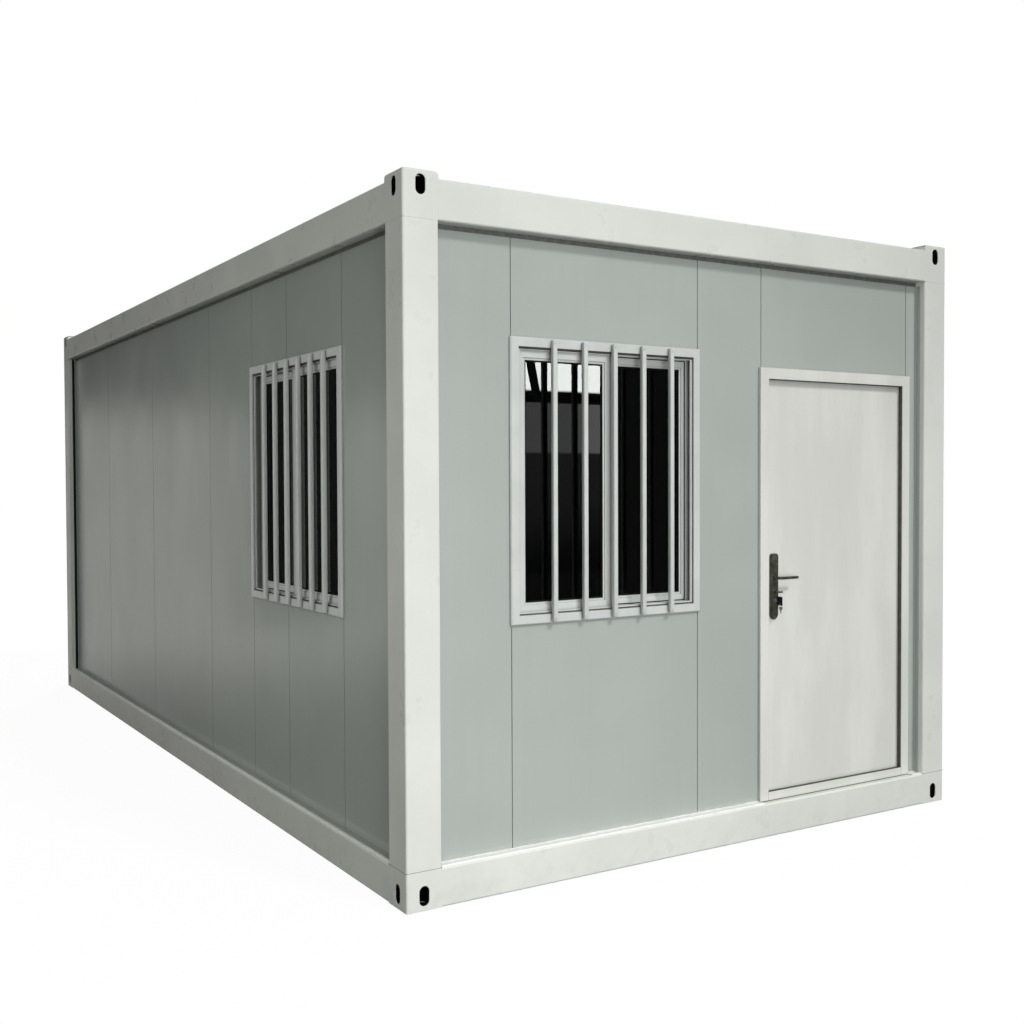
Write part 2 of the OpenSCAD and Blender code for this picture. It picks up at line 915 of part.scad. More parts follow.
module left_sash_outer() {
    on_wall(LEFT, home_w / 2)
        turned_sashes(side_window_x0, side_window_x1)
            sash(side_window_x0, side_window_x1, 0);
}

module left_sash_inner() {
    on_wall(LEFT, home_w / 2)
        turned_sashes(side_window_x0, side_window_x1)
            sash(side_window_x0, side_window_x1, 1);
}

module left_window_glass() {
    on_wall(LEFT, home_w / 2)
        turned_sashes(side_window_x0, side_window_x1)
            for (track = [0, 1])
                sash_glass(side_window_x0, side_window_x1, track);
}

module door_frame() {
    color(trim_colour)
        on_wall(FRONT, home_l / 2)
            difference() {
                union() {
                    span_box([front_seam_3 - door_lap, door_y, base_h],
                             [front_seam_4 + door_lap, panel_recess, door_z1 + door_lap]);
                    span_box([front_seam_3, panel_recess, base_h], [front_seam_4, leaf_back_y, door_z1]);
                }
                span_box([opening_x0, door_y - cut, opening_z0], [opening_x1, rebate_y + cut, opening_z1]);
                span_box([opening_x0 - door_rebate, rebate_y, opening_z0 - door_rebate],
                         [opening_x1 + door_rebate, leaf_back_y + cut, opening_z1 + door_rebate]);
            }
}

// A cylinder along the depth of the door wall, from depth y0 to y1
module depth_cylinder(x, z, r, y0, y1) {
    translate([x, y0, z])
        rotate([-90, 0, 0])
            cylinder(r = r, h = y1 - y0);
}

module door_leaf() {
    color(trim_colour)
        on_wall(FRONT, home_l / 2)
            difference() {
                span_box([leaf_x0, leaf_y, leaf_z0], [leaf_x1, leaf_back_y, leaf_z1]);
                depth_cylinder(spindle_x, spindle_z, hub_r, leaf_y - cut, leaf_back_y + cut);
                depth_cylinder(spindle_x, cylinder_z, cylinder_r + fixed_play,
                               leaf_y - cut, leaf_back_y + cut);
            }
}

// Puts children at the foot of each hinge, on its axis
module at_hinges() {
    for (share = hinge_shares)
        translate([hinge_x, hinge_y, leaf_z0 + share * (leaf_z1 - leaf_z0) - hinge_l / 2])
            children();
}

// The fixed half of each hinge: two knuckles on one pin, strapped to a plate on the frame
module frame_hinges() {
    strap_x = leaf_gap / 2;
    plate_x1 = front_seam_4 - hinge_x;
    color(zinc_colour)
        on_wall(FRONT, home_l / 2)
            at_hinges() {
                cylinder(r = hinge_pin_r, h = hinge_l);
                for (z = [0, hinge_l - knuckle_l])
                    translate([0, 0, z]) {
                        cylinder(r = knuckle_r, h = knuckle_l);
                        span_box([strap_x, -hinge_offset, 0], [strap_x + hinge_t, 0, knuckle_l]);
                    }
                span_box([strap_x, -hinge_offset, 0], [plate_x1, hinge_t - hinge_offset, hinge_l]);
            }
}

// The moving half of each hinge: one knuckle around the pin, strapped to a plate on the leaf
module leaf_hinges() {
    strap_x = -leaf_gap / 2;
    z = knuckle_l + face_play;
    color(zinc_colour)
        on_wall(FRONT, home_l / 2)
            at_hinges() {
                difference() {
                    union() {
                        translate([0, 0, z])
                            cylinder(r = knuckle_r, h = knuckle_l);
                        span_box([strap_x - hinge_t, -hinge_offset, z], [strap_x, 0, z + knuckle_l]);
                    }
                    cylinder(r = hinge_pin_r + pin_play, h = hinge_l);
                }
                span_box([strap_x - hinge_plate_w, -hinge_offset, 0],
                         [strap_x, hinge_t - hinge_offset, hinge_l]);
            }
}

// Outline of a handle plate around the spindle: half round below, small corners above
module plate_outline(inset) {
    half = plate_w / 2;
    r = half - inset;
    corner_r = plate_r - inset;
    difference() {
        union() {
            translate([0, half - plate_drop])
                circle(r);
            translate([-r, half - plate_drop])
                crowned_rect(2 * r, plate_h - half - inset, corner_r, corner_r);
        }
        circle(spindle_r + pin_play);
        translate([0, -cylinder_drop])
            circle(cylinder_r + fixed_play);
    }
}

// Small lever on the outer plate that throws the bolt: a round stem and a bar across its end
module bolt_lever() {
    rotate([90, 0, 0])
        cylinder(r = spindle_r, h = plate_t + bolt_out);
    translate([-bolt_r, -plate_t - bolt_out, 0])
        rotate([0, 90, 0])
            cylinder(r = bolt_r, h = bolt_l);
    translate([bolt_l - bolt_r, -plate_t - bolt_out, 0])
        sphere(bolt_r);
}

module handle_plates() {
    color(bronze_colour)
        on_wall(FRONT, home_l / 2) {
            for (side = [0, 1])
                translate([spindle_x, side == 0 ? leaf_y : leaf_back_y, spindle_z])
                    mirror([0, side, 0])
                        rotate([90, 0, 0]) {
                            linear_extrude(plate_t - plate_step)
                                plate_outline(0);
                            linear_extrude(plate_t)
                                plate_outline(plate_rim);
                        }
            translate([spindle_x, leaf_y, spindle_z - bolt_drop])
                bolt_lever();
        }
}

// One lever: a collar on the plate and a round bar that bends away from the free edge
module lever(side) {
    neck = lever_out - lever_bend_r;
    mirror([0, side, 0]) {
        translate([0, -face_play, 0])
            rotate([90, 0, 0]) {
                cylinder(r = hub_r, h = collar_h);
                cylinder(r = lever_r, h = neck - face_play);
            }
        translate([lever_bend_r, -neck, 0])
            rotate([0, 0, 180])
                rotate_extrude(angle = 90)
                    translate([lever_bend_r, 0])
                        circle(lever_r);
        translate([lever_bend_r, -lever_out, 0])
            rotate([0, 90, 0])
                cylinder(r = lever_r, h = lever_l - lever_r - lever_bend_r);
        translate([lever_l - lever_r, -lever_out, 0])
            sphere(lever_r);
    }
}

module lever_handle() {
    color(bronze_colour)
        on_wall(FRONT, home_l / 2) {
            depth_cylinder(spindle_x, spindle_z, spindle_r, leaf_y - plate_t - face_play - fixed_play,
                           leaf_back_y + plate_t + face_play + fixed_play);
            translate([spindle_x, leaf_y - plate_t, spindle_z])
                lever(0);
            translate([spindle_x, leaf_back_y + plate_t, spindle_z])
                lever(1);
        }
}

module lock_cylinder() {
    color(zinc_colour)
        on_wall(FRONT, home_l / 2)
            depth_cylinder(spindle_x, cylinder_z, cylinder_r, leaf_y - plate_t - cylinder_out,
                           leaf_back_y + plate_t + cylinder_out);
}

base_end_beams();
base_side_beams();
base_fittings();
corner_post(0, 0);  // post_front_left
corner_post(1, 0);  // post_front_right
corner_post(0, 1);  // post_rear_left
corner_post(1, 1);  // post_rear_right
roof_end_beams();
roof_side_beams();
roof_fittings();
floor_joists();
floor_board();
ceiling_board();
roof_purlins();
roof_sheet();
front_panel_left();
front_panel_under_window();
front_panel_over_window();
front_panel_middle();
front_panel_over_door();
front_panel_right();
left_panel_front();
left_panels_under_window();
left_panels_over_window();
left_panels_rear();
rear_panels();
right_panels();
wall_head_seals();
wall_edge_angles();
wall_foot_flashings();
front_window_frame();
front_sash_outer();
front_sash_inner();
front_window_glass();
left_window_frame();
left_sash_outer();
left_sash_inner();
left_window_glass();
door_frame();
door_leaf();
frame_hinges();
leaf_hinges();
handle_plates();
lever_handle();
lock_cylinder();
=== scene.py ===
"""Looks of a flat-pack modular home: paints, glass, window bars, sealant, rubber and small hardware.

Lengths are metres, in the frame of the construction: +Z up, the door wall faces -Y and the long
window wall faces -X. Places on a wall are given as seen from outside: x to the right, y as depth
behind the faces of the posts, z up.
"""
import itertools
import json
import math
import random

import bmesh
import bpy
from mathutils import Matrix, Vector


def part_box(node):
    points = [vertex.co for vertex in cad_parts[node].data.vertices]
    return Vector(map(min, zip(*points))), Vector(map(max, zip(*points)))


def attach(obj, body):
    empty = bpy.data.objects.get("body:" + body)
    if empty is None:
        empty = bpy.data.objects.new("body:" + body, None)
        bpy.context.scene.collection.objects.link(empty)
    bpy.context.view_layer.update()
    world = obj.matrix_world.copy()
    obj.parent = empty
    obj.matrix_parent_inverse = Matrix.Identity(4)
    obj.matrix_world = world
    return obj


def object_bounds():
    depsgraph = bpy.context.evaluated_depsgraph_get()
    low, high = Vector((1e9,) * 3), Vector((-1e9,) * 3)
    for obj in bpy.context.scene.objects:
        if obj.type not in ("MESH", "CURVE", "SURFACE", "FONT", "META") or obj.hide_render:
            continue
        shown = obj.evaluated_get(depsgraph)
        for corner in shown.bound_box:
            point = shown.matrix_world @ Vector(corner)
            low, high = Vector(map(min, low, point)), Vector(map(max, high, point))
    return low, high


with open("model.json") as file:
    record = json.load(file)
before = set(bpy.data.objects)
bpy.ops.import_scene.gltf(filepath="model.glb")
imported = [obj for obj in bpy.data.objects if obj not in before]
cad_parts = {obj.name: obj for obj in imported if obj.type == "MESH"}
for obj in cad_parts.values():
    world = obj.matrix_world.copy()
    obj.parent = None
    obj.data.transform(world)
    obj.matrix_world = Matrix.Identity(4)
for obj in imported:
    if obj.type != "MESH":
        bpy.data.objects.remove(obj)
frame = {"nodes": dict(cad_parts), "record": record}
cad_low, cad_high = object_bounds()

# Walls: matrices from a wall's own coordinates to the frame
HALF_W = cad_high.x
HALF_L = cad_high.y


def wall_matrix(turn, half):
    return Matrix.Rotation(math.radians(turn), 4, "Z") @ Matrix.Translation((0, -half, 0))


FRONT = wall_matrix(0, HALF_L)
LEFT = wall_matrix(-90, HALF_W)
REAR = wall_matrix(180, HALF_L)
RIGHT = wall_matrix(90, HALF_W)
OUTWARD = (0, -1, 0)
INWARD = (0, 1, 0)
TO_THE_RIGHT = (1, 0, 0)

# Camera, fitted to the corners of the frame in the photograph
CAMERA_PLACE = (-3.471, -6.9546, 1.6041)
CAMERA_YAW = math.radians(31.645)
CAMERA_PITCH = math.radians(1.441)
CAMERA_ROLL = math.radians(-0.226)
CAMERA_LENS = 42.08
CAMERA_SENSOR = 36.0

# Light: a soft sun, a weaker one behind the home, a soft box before each wall that shows, and a dim sky
SUN_TURN = math.radians(22)
SUN_HEIGHT = math.radians(48)
SUN_STRENGTH = 1.7
SUN_ANGLE = math.radians(10)
BACK_TOWARDS = (0.45, 0.7, 0.55)
BACK_STRENGTH = 1.5
BOX_PLACE = (-1.6, -7.6, 0.9)
BOX_AIM = (-0.9, -3.0, 0.9)
BOX_SIZE = (3.2, 2.4)
BOX_POWER = 156
FILL_PLACE = (-4.7, -2.0, 1.3)
FILL_AIM = (-1.5, -2.0, 1.3)
FILL_SIZE = (2.0, 1.0)
FILL_POWER = 18
FILL_COLOUR = (1.0, 1.0, 0.93)
SKY_STRENGTH = 0.41
FLOOR_BOUNCE = 0.05
FLOOR_SHADOW_SHARE = 0.04
FLOOR_SIZE = 160.0
BENEATH_INSET = 0.04

# What gloss reflects: a bright strip of horizon and far ground behind the home, else darkness
MIRROR_BRIGHT = 0.64
MIRROR_DARK = 0.035
MIRROR_FADE = (0.2, 0.42, 0.72)
MIRROR_COLOUR = (1.0, 1.0, 0.93, 1.0)
STRIP_RISE = (0.04, 0.08)
STRIP_Y = (-0.1, 0.3)
GROUND_BRIGHT = 0.52
GROUND_BRIGHT_Y = (-0.5, 6.0)
FLAG_X = (-4.2, -3.3)
FLAG_Y = 4.0
FLAG_Z = (0.2, 3.0)
FLAG_DARK = 0.008

# What the panes of the door wall mirror: a sky behind a leaning post, a dark eave, a grey wall and its foot
CARD_Y = -12.0
CARD_X = (4.3, 6.1)
CARD_Z = (0.4, 3.3)
CARD_COLOUR = (0.96, 1.0, 0.97, 1.0)
CARD_SKY_Z = (2.77, 2.81)
CARD_SKY = 23.0
CARD_POST_GROUND_X = 5.545
CARD_POST_LEAN = -0.211
CARD_POST_HALF = 0.065
CARD_EAVE_Z = 2.63
CARD_WALL_Z = (1.965, 2.005)
CARD_WALL_X = (5.5, 5.9)
CARD_WALL = (1.05, 2.0)
CARD_FOOT_Z = (0.4, 1.6)
CARD_FOOT = 0.18

# Colours, as sRGB
FRAME_WHITE = (219, 222, 215)
WALL_GREY = (174, 181, 175)
TRIM_WHITE = (202, 206, 203)
# Painted light: where along y the window trim turns lighter, towards the long wall
LIT_TRIM_Y = (-2.9, -2.5)
DOOR_WHITE = (217, 219, 212)
SEAL_GREY = (104, 107, 102)
RUBBER_BLACK = (26, 27, 27)
# Grey of the door rubber and the window lip strips, which also paint shade
RUBBER_AND_SHADE_GREY = (84, 84, 76)
BRONZE = (110, 111, 99)
ZINC = (178, 181, 182)
DIRT = (128, 120, 106)
# Painted shade inside the corner fittings
HOLLOW_SHADE_BLACK = (14, 14, 14)
SEALANT_WHITE = (242, 244, 239)
FLOOR_GREY = (150, 146, 138)
CEILING_WHITE = (224, 225, 222)
GLASS_TINT = (58, 64, 62)

# Corner fittings: their middles in the frame, the middle and half of the heights of both rows, and how far
# in from their faces the painted shade inside them begins
FITTING_X = 1.425
FITTING_Y = 2.925
FITTING_LOW = (0.075, 0.075)
FITTING_HIGH = (2.669, 0.091)
FITTING_HALF = 0.075
HOLLOW_SHADE_INSET = 0.004

# Window bars: number, pitch, and how far the row lies right of the window's middle
BAR_SIZE = 0.021
BAR_ROUND = 0.004
BAR_END_GAP = 0.009
BAR_SCREW_INSET = 0.02
BAR_SCREW_R = 0.004
FRONT_BARS = (5, 0.149, 0.0136)
LEFT_BARS = (6, 0.1445, 0.04)

# Sashes: widths of their members, and the rubber around the glass
STILE_W = 0.054
RAIL_W = 0.062
SASH_STEP = 0.004
GLASS_HALF_T = 0.0026
GASKET_W = 0.005
GASKET_TIP_SHARE = 0.4
GASKET_LAP = 0.0015
GASKET_PROUD = 0.0006

# Window frames: the face, the lip behind it with its grey strips of painted shade, and the brush pile,
# which also paints shade
FACE_W = 0.038
LIP_INSET = 0.05
LIP_DEPTH = 0.009
LIP_STRIP_HEAD = 0.009
LIP_STRIP_FOOT = 0.006
LIP_STRIP_SIDE = 0.003
LIP_STRIP_T = 0.0012
BRUSH_HALF_W = 0.004
BRUSH_T = 0.0009
STRIP_SUNK = 0.0003

# Sash latches: boxes as two corners from the middle of the stile's inner face, and a turned boss
LATCH_T = 0.008
LATCH_BASE = ((-0.009, 0, -0.032), (0.009, LATCH_T, 0.032))
LATCH_ARM = ((-0.004, 0.010, -0.004), (0.004, 0.017, 0.044))
LATCH_ROUND = 0.002
BOSS_PROFILE = ((0.011, 0), (0.011, 0.006), (0.008, 0.009))

# Levels and depths of the walls
WALL_DEPTH = 0.05
BASE_TOP = 0.15
FLASHING_T = 0.002
ROOF_Z = 2.578
WALL_END = 0.153

# Joints at the ends of the posts, and black strips in the corners beside them
JOINT_FOOT_T = 0.0016
JOINT_HEAD_T = 0.0005
JOINT_PROUD = 0.0002
CORNER_STRIP_HALF = 0.001
CORNER_STRIP_Y = (0.03, 0.047)
CORNER_STRIP_GAP = 0.001

# Sealant on the wall feet: a thin film, partly painted light on the flashing, and a bead along the outer
# edge of the flashing
FILM_OUT = 0.031
FILM_COVE = 0.0062
FILM_UP = 0.004
FILM_UP_SHARES = (0.7, 1.3)
FILM_T = 0.0008
BEAD_OUT = 0.035
BEAD_HALF_W = 0.011
BEAD_RISE = 0.006
BEAD_SHARES = (0.85, 1.1)
BEAD_SIDES = 7
SEALANT_STEP = 0.045

# Door rubber, which also paints shade: how far the frame laps the leaf, depths, and widths on the four
# sides and at the threshold
DOOR_LAP = 0.009
DOOR_RUBBER_Y = (0.038, 0.058)
RUBBER_LOCK_SIDE = 0.003
RUBBER_HINGE_SIDE = 0.0012
RUBBER_HEAD = 0.003
RUBBER_FOOT = 0.0008
SILL_LINE_H = 0.003
SILL_LINE_PROUD = 0.0015
SILL_LINE_SUNK = 0.001
SILL_JOINT_HALF = 0.0005
SILL_JOINT_PROUD = 0.0003
SILL_JOINT_ROUND = 0.0001

# Lock: places on the door, and plates as two corners from the middle of an edge at the spindle's height
LOCK_X = 0.402
SPINDLE_Z = 1.163
CYLINDER_Z = 1.059
PLATE_FACE = 0.052
CYLINDER_FACE = 0.046
PLATE_SCREW_ABOVE = 0.078
PLATE_SCREW_BELOW = 0.052
PLATE_SCREW_R = 0.0042
FOREND = ((-0.0012, -0.011, -0.19), (0.0005, 0.011, 0.06))
LATCH_BOLT = ((-0.0036, -0.006, -0.008), (0, 0.006, 0.008))
LATCH_BOLT_ROUND = 0.0015
JAMB_GAP = 0.007
STRIKE_PROUD = 0.001
STRIKE = ((-0.0005, -0.013, -0.16), (STRIKE_PROUD, 0.013, 0.04))
STRIKE_SCREW_RISES = (-0.15, 0.03)
STRIKE_SCREW_R = 0.003

# Keys: boxes as two corners from the cylinder's face, and a ring with a small key below the black bow
KEY_BLADE = ((-0.001, -0.014, -0.004), (0.001, 0.001, 0.004))
KEY_BLADE_ROUND = 0.0004
KEY_BOW = ((-0.0028, -0.043, -0.02), (0.0028, -0.011, 0.02))
KEY_BOW_ROUND = 0.0026
RING_PLACE = (0, -0.033, -0.019)
RING_FACES = (0.3, 1, 0)
RING_R = 0.009
RING_WIRE_R = 0.0008
SMALL_BOW_PLACE = (0.001, 0, -0.014)
SMALL_BOW_FACES = (0.5, 1, 0)
SMALL_BOW_PROFILE = ((0.008, -0.0009), (0.0085, -0.0005), (0.0085, 0.0005), (0.008, 0.0009))
SMALL_BLADE = ((-0.002, -0.001, -0.036), (0.004, 0.001, -0.02))

# Hinges: heights on the leaf, and each screw's place from the plate's free edge and from its middle
HINGE_SHARES = (0.12, 0.5, 0.88)
HINGE_SCREWS = ((0.010, -0.036), (0.018, 0), (0.010, 0.036))
HINGE_T = 0.003
HINGE_SCREW_R = 0.0038

# Roof: screws on the ribs, and strainers in the gutters
RIB_PITCH = 0.25
RIBS_EACH_WAY = 11
ROOF_SCREW_SHARES = (-0.93, -0.46, 0, 0.46, 0.93)
ROOF_SCREW_PROFILE = ((0.009, -0.0005), (0.009, 0.0015), (0.0055, 0.002), (0.0055, 0.006))
ROOF_SCREW_STEPS = 8
STRAINER_INSET_X = 0.057
STRAINER_INSET_Y = 0.21
STRAINER_RISE = 0.004
STRAINER_PROFILE = (
    (0.042, 0), (0.042, 0.004), (0.034, 0.006), (0.032, 0.022), (0.022, 0.034), (0.008, 0.039),
)

# Rounding, round steps and screw heads of all small pieces
BLOCK_ROUND = 0.0005
THIN_ROUND = 0.0003
SHARP_ANGLE = math.radians(40)
ROUND_STEPS = 20
WIRE_SIDES = 8
SUNK = 0.0005
SCREW_STEPS = 12
SCREW_HEAD_SHARES = ((1.0, 0.35), (0.75, 0.6), (0.3, 0.6))

random_place = random.Random(7)


def linear(colour):
    """A linear colour from an sRGB one with channels up to 255."""
    shares = [c / 255 for c in colour]
    values = [s / 12.92 if s <= 0.04045 else ((s + 0.055) / 1.055) ** 2.4 for s in shares]
    return (*values, 1.0)


def shade(colour, factor):
    """A linear colour, made lighter or darker."""
    r, g, b, a = linear(colour)
    return (r * factor, g * factor, b * factor, a)


class Nodes:
    """Shorthand for building a node tree."""

    def __init__(self, tree):
        self.tree = tree

    def add(self, kind, **settings):
        node = self.tree.nodes.new(kind)
        for name, value in settings.items():
            setattr(node, name, value)
        return node

    def link(self, source, target):
        """Feeds a socket from an output, or sets it to a constant."""
        if isinstance(source, bpy.types.NodeSocket):
            self.tree.links.new(source, target)
        else:
            target.default_value = source

    def remap(self, source, low, high, to_low=0.0, to_high=1.0):
        """A value stretched from one range to another, with soft ends."""
        node = self.add("ShaderNodeMapRange", interpolation_type="SMOOTHSTEP")
        for name, value in zip(("From Min", "From Max", "To Min", "To Max"), (low, high, to_low, to_high)):
            self.link(value, node.inputs[name])
        self.link(source, node.inputs["Value"])
        return node.outputs["Result"]

    def maths(self, operation, *values):
        node = self.add("ShaderNodeMath", operation=operation)
        for value, socket in zip(values, node.inputs):
            self.link(value, socket)
        return node.outputs[0]

    def within(self, source, middle, half):
        """1 where a value lies less than half away from a middle, else 0."""
        return self.maths("LESS_THAN", self.maths("ABSOLUTE", self.maths("SUBTRACT", source, middle)), half)

    def axes(self, place):
        """The three coordinates of a place or direction."""
        node = self.add("ShaderNodeSeparateXYZ")
        self.link(place, node.inputs[0])
        return node.outputs[0], node.outputs[1], node.outputs[2]

    def mix(self, factor, a, b):
        """A colour between a and b, each a colour or an output."""
        node = self.add("ShaderNodeMix", data_type="RGBA")
        for socket, value in ((node.inputs[0], factor), (node.inputs[6], a), (node.inputs[7], b)):
            self.link(value, socket)
        return node.outputs[2]

    def mix_value(self, factor, a, b):
        node = self.add("ShaderNodeMix", data_type="FLOAT")
        for socket, value in zip(node.inputs[:1] + node.inputs[2:4], (factor, a, b)):
            self.link(value, socket)
        return node.outputs[0]

    def mix_shader(self, factor, a, b):
        node = self.add("ShaderNodeMixShader")
        for socket, value in zip(node.inputs, (factor, a, b)):
            self.link(value, socket)
        return node.outputs[0]


class Look(Nodes):
    """A material made of nodes around one Principled shader."""

    def __init__(self, name, **sockets):
        self.material = bpy.data.materials.new(name)
        self.material.use_nodes = True
        super().__init__(self.material.node_tree)
        self.shader = self.tree.nodes["Principled BSDF"]
        self.place = self.add("ShaderNodeTexCoord").outputs["Object"]
        for socket, value in sockets.items():
            self.shader.inputs[socket.replace("_", " ")].default_value = value

    def feed(self, socket, source):
        self.link(source, self.shader.inputs[socket])

    def noise(self, scale, detail, roughness=0.55, stretch=(1, 1, 1), shift=(0, 0, 0)):
        """Noise from 0 to 1, in cells per metre."""
        mapping = self.add("ShaderNodeMapping")
        mapping.inputs["Scale"].default_value = stretch
        mapping.inputs["Location"].default_value = shift
        self.link(self.place, mapping.inputs["Vector"])
        node = self.add("ShaderNodeTexNoise")
        node.inputs["Scale"].default_value = scale
        node.inputs["Detail"].default_value = detail
        node.inputs["Roughness"].default_value = roughness
        self.link(mapping.outputs["Vector"], node.inputs["Vector"])
        return node.outputs["Fac"]

    def bump(self, height, distance, strength, normal=None):
        node = self.add("ShaderNodeBump")
        node.inputs["Distance"].default_value = distance
        node.inputs["Strength"].default_value = strength
        self.link(height, node.inputs["Height"])
        if normal is not None:
            self.link(normal, node.inputs["Normal"])
        return node.outputs["Normal"]

    def corners(self, reach):
        """1 deep in inner corners, falling to 0 on open faces: the mask for painted shade in corners."""
        node = self.add("ShaderNodeAmbientOcclusion", samples=6)
        node.inputs["Distance"].default_value = reach
        return self.remap(node.outputs["AO"], 0.25, 0.95, 1.0, 0.0)

    def soft_edges(self, radius):
        node = self.add("ShaderNodeBevel", samples=4)
        node.inputs["Radius"].default_value = radius
        return node.outputs["Normal"]


def frame_paint():
    """Brushed white enamel on folded steel: patchy, with faint runs, dust near the ground, and painted
    shade inside the corner fittings."""
    look = Look("frame_paint", Specular_IOR_Level=0.45)
    x, y, z = look.axes(look.place)
    patches = look.remap(look.noise(2.2, 4), 0.35, 0.68)
    colour = look.mix(patches, shade(FRAME_WHITE, 0.96), shade(FRAME_WHITE, 1.03))
    brushed = look.remap(look.noise(26, 5), 0.45, 0.75, 0, 0.08)
    colour = look.mix(brushed, colour, shade(FRAME_WHITE, 0.86))
    low_down = look.remap(z, 0.0, 0.2, 1.0, 0.0)
    dust = look.maths("MULTIPLY", low_down, look.remap(look.noise(13, 5), 0.45, 0.75, 0, 0.1))
    colour = look.mix(dust, colour, linear(DIRT))
    # Painted shade: inside the corner fittings the colour turns near black.
    columns = [look.within(look.maths("ABSOLUTE", value), middle, FITTING_HALF - HOLLOW_SHADE_INSET)
               for value, middle in ((x, FITTING_X), (y, FITTING_Y))]
    rows = [look.within(z, middle, half - HOLLOW_SHADE_INSET) for middle, half in (FITTING_LOW, FITTING_HIGH)]
    inside = look.maths("MULTIPLY", *columns)
    hollow_shade = look.maths("MULTIPLY", inside, look.maths("MAXIMUM", *rows))
    look.feed("Base Color", look.mix(hollow_shade, colour, linear(HOLLOW_SHADE_BLACK)))
    look.feed("Roughness", look.remap(look.noise(6, 4), 0.3, 0.7, 0.26, 0.42))
    waves = look.bump(look.noise(5, 2), 0.004, 0.25, look.soft_edges(0.0015))
    look.feed("Normal", look.bump(look.noise(420, 2), 0.0004, 0.35, waves))
    return look.material


def wall_skin():
    """Coil coated sheet on the wall panels: almost even colour, soft oil-canning in the sheen, painted
    shade in inner corners.
    """
    look = Look("wall_skin", Specular_IOR_Level=1.0)
    patches = look.remap(look.noise(1.1, 3, shift=(3, 1, 0)), 0.3, 0.7)
    colour = look.mix(patches, shade(WALL_GREY, 0.96), shade(WALL_GREY, 1.04))
    rolling = look.remap(look.noise(22, 3, stretch=(1, 1, 0.03)), 0.45, 0.75, 0, 0.12)
    colour = look.mix(rolling, colour, shade(WALL_GREY, 0.88))
    # Painted shade: the wall is darker in inner corners.
    painted_corner_shade = look.maths("MULTIPLY", look.corners(0.05), 0.4)
    look.feed("Base Color", look.mix(painted_corner_shade, colour, shade(WALL_GREY, 0.55)))
    look.feed("Roughness", look.remap(look.noise(3, 4, stretch=(1, 1, 0.5)), 0.3, 0.7, 0.15, 0.23))
    swell = look.bump(look.noise(1.6, 2, stretch=(1, 1, 0.7)), 0.008, 0.4, look.soft_edges(0.0015))
    look.feed("Normal", look.bump(look.noise(600, 2), 0.0002, 0.2, swell))
    return look.material


def window_trim():
    """White powder coat on window frames, sashes and bars, made lighter on the long wall by painted light,
    and darker in inner corners by painted shade.
    """
    look = Look("window_trim", Specular_IOR_Level=0.45)
    _, y, _ = look.axes(look.place)
    # Painted light: the trim is mixed towards a lighter white on the long wall.
    painted_light = look.remap(y, *LIT_TRIM_Y, 0.0, 0.5)
    patches = look.remap(look.noise(7, 4), 0.35, 0.7)
    colour = look.mix(patches, shade(TRIM_WHITE, 0.94), shade(TRIM_WHITE, 1.02))
    grime = look.remap(look.noise(38, 5), 0.55, 0.82, 0, 0.25)
    colour = look.mix(grime, colour, shade(TRIM_WHITE, 0.78))
    colour = look.mix(painted_light, colour, shade(TRIM_WHITE, 1.4))
    # Painted shade: darker in inner corners.
    look.feed("Base Color", look.mix(look.corners(0.03), colour, shade(TRIM_WHITE, 0.5)))
    look.feed("Roughness", look.remap(look.noise(24, 3), 0.3, 0.7, 0.3, 0.48))
    look.feed("Normal", look.bump(look.noise(700, 2), 0.0002, 0.4, look.soft_edges(0.0015)))
    return look.material


def door_paint():
    """White coated sheet of the door: upright cloudy streaks from rolling, and painted shade in inner
    corners.
    """
    look = Look("door_paint", Specular_IOR_Level=0.45)
    clouds = look.remap(look.noise(6, 5, stretch=(1, 1, 0.22), shift=(0.4, 0, 0.9)), 0.35, 0.7)
    colour = look.mix(clouds, shade(DOOR_WHITE, 0.93), shade(DOOR_WHITE, 1.04))
    scuffs = look.remap(look.noise(30, 6, stretch=(1, 1, 0.18)), 0.56, 0.85, 0, 0.3)
    colour = look.mix(scuffs, colour, shade(DOOR_WHITE, 0.8))
    # Painted shade: the door is darker in inner corners.
    look.feed("Base Color", look.mix(look.corners(0.02), colour, shade(DOOR_WHITE, 0.6)))
    look.feed("Roughness", look.remap(clouds, 0, 1, 0.34, 0.5))
    swell = look.bump(look.noise(2.5, 2), 0.006, 0.3, look.soft_edges(0.002))
    look.feed("Normal", look.bump(look.noise(260, 3, stretch=(1, 1, 0.1)), 0.0003, 0.4, swell))
    return look.material


def glass():
    """Tinted float glass with a film of dust and a slight waver."""
    look = Look("glass", Transmission_Weight=1.0, IOR=1.45, Specular_IOR_Level=0.5, Roughness=0.0)
    dust = look.remap(look.noise(14, 5), 0.5, 0.8, 0.0, 0.35)
    look.feed("Base Color", look.mix(dust, linear(GLASS_TINT), shade(GLASS_TINT, 1.35)))
    look.feed("Normal", look.bump(look.noise(2.4, 1), 0.003, 0.05))
    return look.material


def rubber(name, colour):
    """Matt rubber with a bloom of dust."""
    look = Look(name, Specular_IOR_Level=0.3)
    bloom = look.remap(look.noise(35, 5), 0.4, 0.75)
    look.feed("Base Color", look.mix(bloom, shade(colour, 0.85), shade(colour, 1.3)))
    look.feed("Roughness", look.remap(bloom, 0, 1, 0.6, 0.85))
    look.feed("Normal", look.bump(look.noise(300, 3), 0.0003, 0.4))
    return look.material


